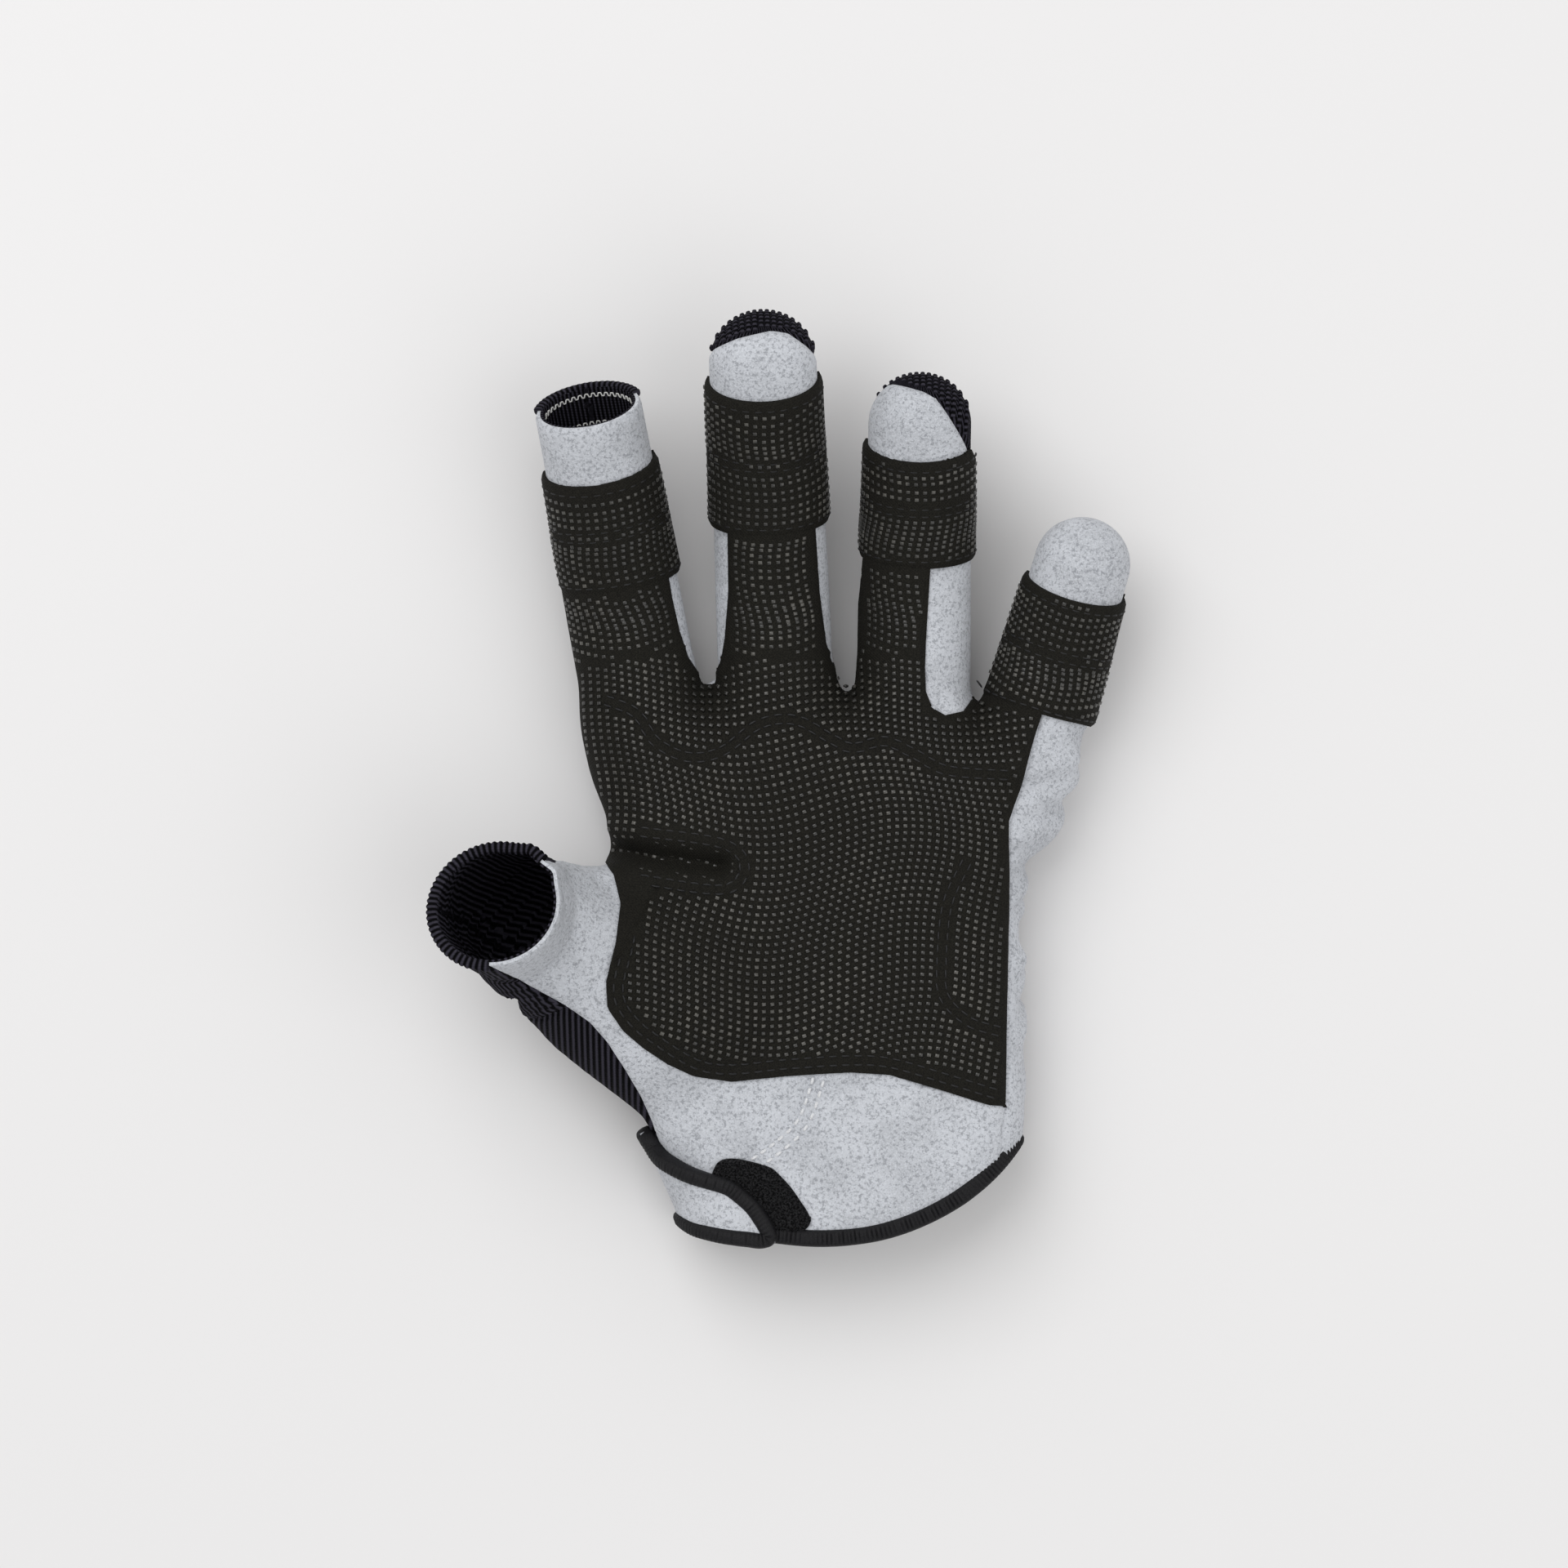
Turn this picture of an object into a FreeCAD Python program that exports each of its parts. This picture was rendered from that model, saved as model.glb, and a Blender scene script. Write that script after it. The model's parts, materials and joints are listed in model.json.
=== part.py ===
"""Left-hand sailing glove, palm up, in millimetres.

Frame: +Z out of the palm, +Y towards the fingertips, -X on the thumb side.
The origin lies on the flat underside of the back panel, which rests on z = 0.
"""

import FreeCAD, Part
import math
import os

import Sketcher

DIMENSIONS = {
    # sheet materials
    "wall": 1.4,
    "grip_thickness": 1.0,
    "seam_gap": 0.1,
    "moving_gap": 0.3,
    # hand body: half widths each side of the origin, at four stations from the fingers to the cuff
    "hand_height": 28.0,
    "hand_corner": 12.0,
    "rest_trim": 0.1,
    "front_y": 56.0,
    "front_thumb_side": 57.0,
    "front_little_side": 62.5,
    "middle_y": 8.0,
    "middle_thumb_side": 47.5,
    "middle_little_side": 49.5,
    "heel_y": -40.0,
    "heel_thumb_side": 49.5,
    "heel_little_side": 48.8,
    "end_y": -92.0,
    "end_thumb_side": 46.0,
    "end_little_side": 47.0,
    "knuckle_y": 46.0,
    "little_step_x": 30.0,
    "little_drop": 7.5,
    "cuff_centre_x": 2.0,
    "cuff_centre_y": -27.0,
    "cuff_radius": 58.0,
    "binding_width": 3.6,
    "binding_thickness": 1.2,
    # seams of the hand body
    "back_seam_z": 6.0,
    "palm_seam_z": 20.0,
    "wrist_seam_y": -47.0,
    "thenar_seam_x": -8.0,
    "web_depth": 3.0,
    # palm patch
    "patch_thumb_side": 44.0,
    "patch_little_side": 44.0,
    "patch_heel_y": -45.0,
    "patch_corner": 12.0,
    # fingers: root point, splay, tube radius and straight length beyond the bend
    "finger_bend": 20.0,
    "stub_length": 6.0,
    "fold_half": 14.0,
    "index_x": -41.2,
    "index_splay": 10.4,
    "index_radius": 13.3,
    "index_length": 33.1,
    "middle_x": -9.4,
    "middle_splay": 2.4,
    "middle_radius": 13.3,
    "middle_length": 42.1,
    "ring_x": 23.2,
    "ring_splay": -0.6,
    "ring_radius": 12.7,
    "ring_length": 28.7,
    "little_x": 50.0,
    "little_splay": -16.0,
    "little_radius": 11.6,
    "little_length": 13.6,
    "grip_share_angle": 25.0,
    "index_wrap": 20.0,
    "middle_wrap": 33.0,
    "ring_wrap": 22.0,
    "little_wrap": 12.0,
    "hem_width": 5.0,
    # thumb: the tube's bend, its direction before the bend and its radius
    "thumb_x": -62.0,
    "thumb_y": -12.0,
    "thumb_z": 25.0,
    "thumb_turn": 152.0,
    "thumb_rise": 30.0,
    "thumb_bend": 33.0,
    "thumb_radius": 14.0,
    "thumb_fold_half": 10.5,
    "thumb_length": 18.0,
    "thumb_base_x": -40.0,
    "thumb_base_y": -21.0,
    "thumb_base_z": 14.0,
    "thumb_base_half_width": 23.0,
    "thumb_base_half_height": 12.2,
    # wrist strap
    "strap_x": -60.0,
    "strap_y": -57.0,
    "strap_turn": -24.0,
    "strap_reach": 46.0,
    "strap_half_width": 8.5,
    "strap_edge": 3.6,
    "strap_thickness": 1.4,
    "strap_hinge_z": 14.0,
    "strap_fold_half": 2.0,
    "hook_thickness": 1.2,
    "loop_thickness": 1.3,
    "hook_patch_start": 20.0,
    "loop_patch_x": -13.5,
    "loop_patch_y": -72.0,
    "loop_patch_half_width": 7.0,
    "loop_patch_half_length": 9.0,
}

FINGERS = ("index", "middle", "ring", "little")
OPEN_FINGERS = ("index",)
REACH = 200.0

doc = FreeCAD.newDocument("sailing_glove")
sheet = doc.addObject("Spreadsheet::Sheet", "dims")
Vector = FreeCAD.Vector
X_AXIS = Vector(1, 0, 0)
Z_AXIS = Vector(0, 0, 1)


def fill_sheet():
    """Write every driving dimension into the sheet with its alias."""
    for row, (name, number) in enumerate(DIMENSIONS.items(), start=1):
        sheet.set(f"A{row}", name)
        sheet.set(f"B{row}", str(number))
        sheet.setAlias(f"B{row}", name)
    doc.recompute()


def value(expression):
    """Number that an expression on the sheet gives."""
    return float(sheet.evalExpression(expression))


def bind(sketch, constraint, expression):
    """Add a constraint whose size follows the sheet."""
    index = sketch.addConstraint(constraint)
    sketch.setExpression(f"Constraints[{index}]", expression)


def place(item, base, rotation):
    """Set a placement whose base follows three expressions."""
    numbers = [value(text) for text in base]
    item.Placement = FreeCAD.Placement(Vector(*numbers), rotation)
    for letter, text in zip("xyz", base):
        item.setExpression(f".Placement.Base.{letter}", text)


def loose_sketch(name, base, rotation=FreeCAD.Rotation()):
    """Sketch outside a body, placed by expressions."""
    sketch = doc.addObject("Sketcher::SketchObject", name)
    place(sketch, base, rotation)
    return sketch


def add_rounded_rectangle(sketch, left, right, bottom, top, corner):
    """Rectangle with round corners: left is measured towards -X, the others towards + from the origin."""
    x0, x1 = -value(left), value(right)
    y0, y1, r = value(bottom), value(top), value(corner)
    centres = ((x1 - r, y0 + r), (x1 - r, y1 - r), (x0 + r, y1 - r), (x0 + r, y0 + r))
    starts = ((x0 + r, y0), (x1, y0 + r), (x1 - r, y1), (x0, y1 - r))
    ends = ((x1 - r, y0), (x1, y1 - r), (x0 + r, y1), (x0, y0 + r))
    lines = [sketch.addGeometry(Part.LineSegment(Vector(*a, 0), Vector(*b, 0))) for a, b in zip(starts, ends)]
    arcs = []
    for quarter, centre in enumerate(centres):
        circle = Part.Circle(Vector(*centre, 0), Z_AXIS, r)
        first = (quarter - 1) * math.pi / 2
        arcs.append(sketch.addGeometry(Part.ArcOfCircle(circle, first, first + math.pi / 2)))
    for i in range(4):
        sketch.addConstraint(Sketcher.Constraint("Tangent", lines[i], 2, arcs[i], 1))
        sketch.addConstraint(Sketcher.Constraint("Tangent", arcs[i], 2, lines[(i + 1) % 4], 1))
        kind = "Horizontal" if i % 2 == 0 else "Vertical"
        sketch.addConstraint(Sketcher.Constraint(kind, lines[i]))
    for arc in arcs[1:]:
        sketch.addConstraint(Sketcher.Constraint("Equal", arcs[0], arc))
    bind(sketch, Sketcher.Constraint("Radius", arcs[0], r), corner)
    bind(sketch, Sketcher.Constraint("DistanceX", lines[3], 1, -1, 1, -x0), left)
    bind(sketch, Sketcher.Constraint("DistanceX", -1, 1, lines[1], 1, x1), right)
    bind(sketch, Sketcher.Constraint("DistanceY", -1, 1, lines[2], 1, y1), top)
    bind(sketch, Sketcher.Constraint("DistanceY", lines[0], 1, lines[2], 1, y1 - y0), f"({top}) - ({bottom})")


def add_circle(sketch, radius):
    """Circle at the sketch's origin."""
    circle = sketch.addGeometry(Part.Circle(Vector(), Z_AXIS, value(radius)))
    sketch.addConstraint(Sketcher.Constraint("Coincident", circle, 3, -1, 1))
    bind(sketch, Sketcher.Constraint("Radius", circle, value(radius)), radius)


def loft(name, sections):
    """Solid through closed sections."""
    item = doc.addObject("Part::Loft", name)
    item.Sections = sections
    item.Solid = True
    item.Ruled = False
    return item


def extrude(name, sketch, length):
    """Solid pad of a loose sketch along +Z."""
    item = doc.addObject("Part::Extrusion", name)
    item.Base = sketch
    item.DirMode = "Custom"
    item.Dir = Z_AXIS
    item.Solid = True
    item.setExpression("LengthFwd", length)
    return item


def box(name, low, high):
    """Box between two corners, each given by three expressions."""
    item = doc.addObject("Part::Box", name)
    for letter, text in zip("xyz", low):
        item.setExpression(f".Placement.Base.{letter}", text)
    for side, a, b in zip(("Length", "Width", "Height"), low, high):
        item.setExpression(side, f"({b}) - ({a})")
    return item


def common(name, *shapes):
    """Space that all the given solids share."""
    item = doc.addObject("Part::MultiCommon", name)
    item.Shapes = list(shapes)
    return item


def fuse(name, *shapes):
    """Union of the given solids."""
    item = doc.addObject("Part::MultiFuse", name)
    item.Shapes = list(shapes)
    return item


def cut(name, base, tool):
    """First solid without the second."""
    item = doc.addObject("Part::Cut", name)
    item.Base = base
    item.Tool = tool
    return item


def hand_form(name, growth):
    """Closed hand volume, grown outwards by an expression."""
    upright = FreeCAD.Rotation(X_AXIS, 90)
    sections = []
    for station in ("front", "middle", "heel", "end"):
        sketch = loose_sketch(f"{name}_{station}", ("0", f"dims.{station}_y", "0"), upright)
        add_rounded_rectangle(
            sketch,
            f"dims.{station}_thumb_side + ({growth})",
            f"dims.{station}_little_side + ({growth})",
            f"0 - dims.rest_trim - ({growth})",
            f"dims.hand_height + ({growth})",
            f"dims.hand_corner + ({growth})",
        )
        sections.append(sketch)
    return loft(name, sections)


def hand_region(name, cuff_radius):
    """Plan view of the hand: stepped at the knuckles, round at the cuff."""
    sketch = loose_sketch(f"{name}_outline", ("0", "0", "-dims.hand_height"))
    cx, cy, radius = value("dims.cuff_centre_x"), value("dims.cuff_centre_y"), value(cuff_radius)
    knuckle, step_x, drop = value("dims.knuckle_y"), value("dims.little_step_x"), value("dims.little_drop")
    slope = math.tan(math.radians(value("dims.little_splay")))
    side = REACH / 2
    corner = knuckle - drop + (side - step_x) * slope
    points = [
        (cx - radius, cy), (-side, cy), (-side, knuckle), (step_x, knuckle),
        (step_x, knuckle - drop), (side, corner), (side, cy), (cx + radius, cy),
    ]
    lines = []
    for a, b in zip(points, points[1:]):
        lines.append(sketch.addGeometry(Part.LineSegment(Vector(*a, 0), Vector(*b, 0))))
    circle = Part.Circle(Vector(cx, cy, 0), Z_AXIS, radius)
    arc = sketch.addGeometry(Part.ArcOfCircle(circle, math.pi, 2 * math.pi))
    for first, second in zip(lines, lines[1:]):
        sketch.addConstraint(Sketcher.Constraint("Coincident", first, 2, second, 1))
    sketch.addConstraint(Sketcher.Constraint("Coincident", arc, 1, lines[0], 1))
    sketch.addConstraint(Sketcher.Constraint("Coincident", arc, 2, lines[6], 2))
    for i in (0, 2, 6):
        sketch.addConstraint(Sketcher.Constraint("Horizontal", lines[i]))
    for i in (1, 3, 5):
        sketch.addConstraint(Sketcher.Constraint("Vertical", lines[i]))
    sketch.addConstraint(Sketcher.Constraint("PointOnObject", arc, 3, lines[0]))
    bind(sketch, Sketcher.Constraint("Radius", arc, radius), cuff_radius)
    bind(sketch, Sketcher.Constraint("DistanceX", -1, 1, arc, 3, cx), "dims.cuff_centre_x")
    bind(sketch, Sketcher.Constraint("DistanceY", arc, 3, -1, 1, -cy), "-dims.cuff_centre_y")
    bind(sketch, Sketcher.Constraint("DistanceY", -1, 1, lines[2], 1, knuckle), "dims.knuckle_y")
    bind(sketch, Sketcher.Constraint("DistanceX", -1, 1, lines[3], 1, step_x), "dims.little_step_x")
    bind(sketch, Sketcher.Constraint("DistanceY", lines[3], 2, lines[3], 1, drop), "dims.little_drop")
    bind(sketch, Sketcher.Constraint("DistanceX", lines[1], 1, -1, 1, side), f"{side}")
    bind(sketch, Sketcher.Constraint("DistanceX", -1, 1, lines[5], 1, side), f"{side}")
    bind(sketch, Sketcher.Constraint("DistanceY", lines[4], 2, lines[4], 1, knuckle - drop - corner),
         f"({side} - dims.little_step_x) * tan(-dims.little_splay * 1 deg)")
    return extrude(name, sketch, "3 * dims.hand_height")


def origin_plane(body, role):
    """One of a body's own origin planes."""
    return next(item for item in body.Origin.OriginFeatures if item.Role == role)


def body_sketch(body, name, role, offset="0"):
    """Sketch on an origin plane of its body, lifted off it by an expression."""
    sketch = body.newObject("Sketcher::SketchObject", name)
    sketch.AttachmentSupport = (origin_plane(body, role), [""])
    sketch.MapMode = "FlatFace"
    sketch.setExpression("AttachmentOffset.Base.z", offset)
    return sketch


def add_ring_sector(sketch, outer, inner, start, stop):
    """Part of a ring between two angles, in degrees, about the sketch's origin."""
    a0, a1 = math.radians(value(start)), math.radians(value(stop))
    big, small = value(outer), value(inner)
    corners = [Vector(r * math.cos(a), r * math.sin(a), 0) for a in (a0, a1) for r in (small, big)]
    rim = sketch.addGeometry(Part.ArcOfCircle(Part.Circle(Vector(), Z_AXIS, big), a0, a1))
    bore = sketch.addGeometry(Part.ArcOfCircle(Part.Circle(Vector(), Z_AXIS, small), a0, a1))
    edges = [sketch.addGeometry(Part.LineSegment(corners[i], corners[i + 1])) for i in (0, 2)]
    for arc in (rim, bore):
        sketch.addConstraint(Sketcher.Constraint("Coincident", arc, 3, -1, 1))
    for end, edge in enumerate(edges, start=1):
        sketch.addConstraint(Sketcher.Constraint("Coincident", edge, 1, bore, end))
        sketch.addConstraint(Sketcher.Constraint("Coincident", edge, 2, rim, end))
        sketch.addConstraint(Sketcher.Constraint("PointOnObject", -1, 1, edge))
    bind(sketch, Sketcher.Constraint("Radius", rim, big), outer)
    bind(sketch, Sketcher.Constraint("Radius", bore, small), inner)
    bind(sketch, Sketcher.Constraint("Angle", -1, 1, edges[0], 1, a0), f"({start}) * 1 deg")
    bind(sketch, Sketcher.Constraint("Angle", -1, 1, edges[1], 1, a1), f"({stop}) * 1 deg")


def add_ring(sketch, outer, inner):
    """Two circles about the sketch's origin."""
    add_circle(sketch, outer)
    add_circle(sketch, inner)


def new_body(name, placement):
    """Empty body with its label and place."""
    body = doc.addObject("PartDesign::Body", name)
    body.Placement = placement
    return body


def pad(body, sketch, length):
    """Pad a sketch of a body by an expression."""
    feature = body.newObject("PartDesign::Pad", f"{sketch.Name}_pad")
    feature.Profile = sketch
    feature.setExpression("Length", length)
    sketch.Visibility = False
    return feature


def tube(name, placement, outer, inner, start, length):
    """Straight tube along its own Z, from a start station."""
    body = new_body(name, placement)
    sketch = body_sketch(body, f"{name}_section", "XY_Plane", start)
    add_ring(sketch, outer, inner)
    pad(body, sketch, length)
    return body


def half_tube(name, placement, outer, inner, start, length, first, last):
    """Lengthwise part of a tube between two angles about its own Z."""
    body = new_body(name, placement)
    sketch = body_sketch(body, f"{name}_section", "XY_Plane", start)
    add_ring_sector(sketch, outer, inner, first, last)
    pad(body, sketch, length)
    return body


def add_dome(body, name, outer, inner, station):
    """Hollow half ball that closes a tube at a station."""
    sketch = body_sketch(body, f"{name}_dome_section", "XZ_Plane")
    big, small, level = value(outer), value(inner), value(station)
    centre = Vector(0, level, 0)
    rim = sketch.addGeometry(Part.ArcOfCircle(Part.Circle(centre, Z_AXIS, big), 0, math.pi / 2))
    bore = sketch.addGeometry(Part.ArcOfCircle(Part.Circle(centre, Z_AXIS, small), 0, math.pi / 2))
    foot = sketch.addGeometry(Part.LineSegment(Vector(small, level, 0), Vector(big, level, 0)))
    crown = sketch.addGeometry(Part.LineSegment(Vector(0, level + small, 0), Vector(0, level + big, 0)))
    for edge, end in ((foot, 1), (crown, 2)):
        sketch.addConstraint(Sketcher.Constraint("Coincident", edge, 1, bore, end))
        sketch.addConstraint(Sketcher.Constraint("Coincident", edge, 2, rim, end))
    sketch.addConstraint(Sketcher.Constraint("Coincident", rim, 3, bore, 3))
    sketch.addConstraint(Sketcher.Constraint("PointOnObject", rim, 3, -2))
    sketch.addConstraint(Sketcher.Constraint("Horizontal", foot))
    sketch.addConstraint(Sketcher.Constraint("PointOnObject", crown, 1, -2))
    sketch.addConstraint(Sketcher.Constraint("PointOnObject", crown, 2, -2))
    bind(sketch, Sketcher.Constraint("Radius", rim, big), outer)
    bind(sketch, Sketcher.Constraint("Radius", bore, small), inner)
    bind(sketch, Sketcher.Constraint("DistanceY", -1, 1, rim, 3, level), station)
    feature = body.newObject("PartDesign::Revolution", f"{name}_dome")
    feature.Profile = sketch
    feature.ReferenceAxis = (sketch, ["V_Axis"])
    feature.Angle = 360
    sketch.Visibility = False


def bent_tube(name, placement, outer, inner, bend_radius, bend):
    """Tube bent towards its own +Y; it starts at its own origin, heading along +Z."""
    shift = FreeCAD.Placement(Vector(0, value(bend_radius), 0), FreeCAD.Rotation())
    body = new_body(name, placement.multiply(shift))
    sketch = body_sketch(body, f"{name}_section", "XY_Plane")
    for radius in (outer, inner):
        middle = Vector(0, -value(bend_radius), 0)
        circle = sketch.addGeometry(Part.Circle(middle, Z_AXIS, value(radius)))
        sketch.addConstraint(Sketcher.Constraint("PointOnObject", circle, 3, -2))
        bind(sketch, Sketcher.Constraint("Radius", circle, value(radius)), radius)
        bind(sketch, Sketcher.Constraint("DistanceY", circle, 3, -1, 1, -middle.y), bend_radius)
    feature = body.newObject("PartDesign::Revolution", f"{name}_turn")
    feature.Profile = sketch
    feature.ReferenceAxis = (sketch, ["H_Axis"])
    feature.Reversed = True
    feature.setExpression("Angle", bend)
    sketch.Visibility = False
    return body


def heading(splay, rise):
    """Rotation that points Z along a finger and Y out of the palm, for angles in degrees."""
    turn = FreeCAD.Rotation(Z_AXIS, splay)
    tilt = FreeCAD.Rotation(X_AXIS, rise - 90)
    palm_up = FreeCAD.Rotation(Z_AXIS, 180)
    return turn.multiply(tilt).multiply(palm_up)


def bend_radius_of(half, bend):
    """Radius of the arc whose tangents are half a fold long."""
    return f"{half} / tan({bend} / 2 * 1 deg)"


def finger_places(finger):
    """Placements of a finger's root, of its bend's start and of its straight outer tube."""
    splay, bend = value(f"dims.{finger}_splay"), value("dims.finger_bend")
    radius, half = value(f"dims.{finger}_radius"), value("dims.fold_half")
    root_y = value("dims.knuckle_y")
    if finger == "little":
        slope = math.tan(math.radians(splay))
        root_y += (value("dims.little_x") - value("dims.little_step_x")) * slope - value("dims.little_drop")
    root = FreeCAD.Placement(Vector(value(f"dims.{finger}_x"), root_y, radius), heading(splay, 0))
    start = root.multiply(FreeCAD.Placement(Vector(0, 0, value("dims.stub_length")), FreeCAD.Rotation()))
    hinge = start.multVec(Vector(0, 0, half))
    lead = heading(splay, bend)
    outer = FreeCAD.Placement(hinge + lead.multVec(Vector(0, 0, half)), lead)
    return root, start, outer, hinge


def build_finger(finger, region):
    """Root sleeve, fold, palm side, back knit, grip band and hem of one finger."""
    root, start, outer, hinge = finger_places(finger)
    radius = f"dims.{finger}_radius"
    bore = f"{radius} - dims.wall"
    length = f"dims.{finger}_length"
    parts = {}
    raw = tube(f"{finger}_root_raw", root, radius, bore, "-1.5 * dims.stub_length", "2.5 * dims.stub_length")
    parts[f"{finger}_root_sleeve"] = cut(f"{finger}_root_sleeve", raw, region)
    turn = bend_radius_of("dims.fold_half", "dims.finger_bend")
    fold = f"{finger}_knuckle_sleeve"
    parts[fold] = bent_tube(fold, start, radius, bore, turn, "dims.finger_bend")
    palm = f"{finger}_palm_side"
    parts[palm] = half_tube(palm, outer, radius, bore, "0", length, "-10", "190")
    back = f"{finger}_back_knit"
    parts[back] = half_tube(back, outer, radius, bore, "0", length, "190", "350")
    if finger in OPEN_FINGERS:
        hem = f"{finger}_hem"
        seat = f"{radius} + dims.seam_gap"
        parts[hem] = tube(hem, outer, f"{seat} + dims.grip_thickness", seat,
                          f"{length} - dims.hem_width", "dims.hem_width")
    else:
        add_dome(parts[back], back, radius, bore, length)
    wrap = f"{finger}_grip_wrap"
    seat = f"{radius} + dims.seam_gap"
    parts[wrap] = half_tube(wrap, outer, f"{seat} + dims.grip_thickness", seat, "dims.moving_gap",
                            f"dims.{finger}_wrap", "-dims.grip_share_angle", "180 + dims.grip_share_angle")
    return parts


def build_webs(region):
    """Blocks that close the gaps between neighbouring finger tubes."""
    parts = {}
    for first, second in zip(FINGERS, FINGERS[1:]):
        name = f"web_{first}_{second}"
        rear, front = "dims.knuckle_y", "dims.knuckle_y + dims.web_depth"
        if second == "little":
            rear, front = f"{rear} - dims.little_drop", f"{rear} - dims.little_drop + 1.2 * dims.web_depth"
        block = box(f"{name}_block", (f"dims.{first}_x", rear, "dims.wall"),
                    (f"dims.{second}_x", front, "dims.hand_height - 2 * dims.wall"))
        clear = []
        for finger in (first, second):
            root = finger_places(finger)[0]
            body = new_body(f"{name}_{finger}_room", root)
            sketch = body_sketch(body, f"{name}_{finger}_circle", "XY_Plane", "-3 * dims.stub_length")
            add_circle(sketch, f"dims.{finger}_radius + dims.seam_gap")
            pad(body, sketch, "8 * dims.stub_length")
            clear.append(body)
        trimmed = cut(f"{name}_trimmed", block, region)
        parts[name] = cut(name, trimmed, fuse(f"{name}_rooms", *clear))
    return parts


def thumb_places():
    """Placements of the thumb's bend start and of its straight outer tube, and its hinge point."""
    hinge = Vector(value("dims.thumb_x"), value("dims.thumb_y"), value("dims.thumb_z"))
    turn, rise = math.radians(value("dims.thumb_turn")), math.radians(value("dims.thumb_rise"))
    first = Vector(math.cos(turn) * math.cos(rise), math.sin(turn) * math.cos(rise), math.sin(rise))
    steep = rise + math.radians(value("dims.thumb_bend"))
    second = Vector(math.cos(turn) * math.cos(steep), math.sin(turn) * math.cos(steep), math.sin(steep))
    side = Vector(-math.sin(turn), math.cos(turn), 0)
    half = value("dims.thumb_fold_half")
    places = []
    for lead, base in ((first, hinge - first * half), (second, hinge + second * half)):
        inward = lead.cross(side)
        across = inward.cross(lead)
        places.append(FreeCAD.Placement(base, FreeCAD.Rotation(across, inward, lead, "ZXY")))
    return places[0], places[1], hinge


def thumb_base_form(name, growth):
    """Flaring solid from inside the hand to the thumb's fold, grown by an expression."""
    base = loose_sketch(f"{name}_base", ("dims.thumb_base_x", "dims.thumb_base_y", "dims.thumb_base_z"),
                        FreeCAD.Rotation(Vector(0, 1, 0), Vector(0, 0, 1), Vector(1, 0, 0), "ZXY"))
    wide = f"dims.thumb_base_half_width + ({growth})"
    tall = f"dims.thumb_base_half_height + ({growth})"
    big, small = value(wide), value(tall)
    oval = sketch_ellipse(base, big, small)
    bind(base, Sketcher.Constraint("DistanceX", -1, 1, oval[0], 2, big), wide)
    bind(base, Sketcher.Constraint("DistanceY", -1, 1, oval[1], 2, small), tall)
    start, _, _ = thumb_places()
    top = doc.addObject("Sketcher::SketchObject", f"{name}_top")
    top.Placement = start
    add_circle(top, f"dims.thumb_radius + ({growth})")
    return loft(name, [base, top])


def sketch_ellipse(sketch, big, small):
    """Ellipse about the sketch's origin with its two half axes as construction lines."""
    ellipse = sketch.addGeometry(Part.Ellipse(Vector(big, 0, 0), Vector(0, small, 0), Vector()))
    sketch.addConstraint(Sketcher.Constraint("Coincident", ellipse, 3, -1, 1))
    axes = []
    for tip, line in ((Vector(big, 0, 0), -1), (Vector(0, small, 0), -2)):
        axis = sketch.addGeometry(Part.LineSegment(Vector(), tip), True)
        sketch.addConstraint(Sketcher.Constraint("Coincident", axis, 1, -1, 1))
        sketch.addConstraint(Sketcher.Constraint("PointOnObject", axis, 2, line))
        sketch.addConstraint(Sketcher.Constraint("PointOnObject", axis, 2, ellipse))
        axes.append(axis)
    return axes


def build_thumb(hand_skin):
    """Thumb tube: root in two halves, fold, palm side, back knit and hem."""
    start, outer, hinge = thumb_places()
    radius = "dims.thumb_radius"
    bore = f"{radius} - dims.wall"
    length = "dims.thumb_length"
    parts = {}
    shell = cut("thumb_root_shell", thumb_base_form("thumb_base_outer", "0"),
                thumb_base_form("thumb_base_inner", "-dims.wall"))
    outside = cut("thumb_root_outside", shell, hand_skin)
    seam = "dims.thumb_base_z + dims.wall"
    high = box("thumb_root_high", (f"-{REACH}", f"-{REACH}", seam), (f"{REACH}", f"{REACH}", f"{REACH}"))
    parts["thumb_root_palm"] = common("thumb_root_palm", outside, high)
    parts["thumb_root_back"] = cut("thumb_root_back", outside, high)
    turn = bend_radius_of("dims.thumb_fold_half", "dims.thumb_bend")
    fold = "thumb_knuckle_sleeve"
    parts[fold] = bent_tube(fold, start, radius, bore, turn, "dims.thumb_bend")
    parts["thumb_palm_side"] = half_tube("thumb_palm_side", outer, radius, bore, "0", length, "-10", "190")
    parts["thumb_back_knit"] = half_tube("thumb_back_knit", outer, radius, bore, "0", length, "190", "350")
    seat = f"{radius} + dims.seam_gap"
    parts["thumb_hem"] = tube("thumb_hem", outer, f"{seat} + dims.grip_thickness", seat,
                              f"{length} - dims.hem_width", "dims.hem_width")
    return parts


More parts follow.
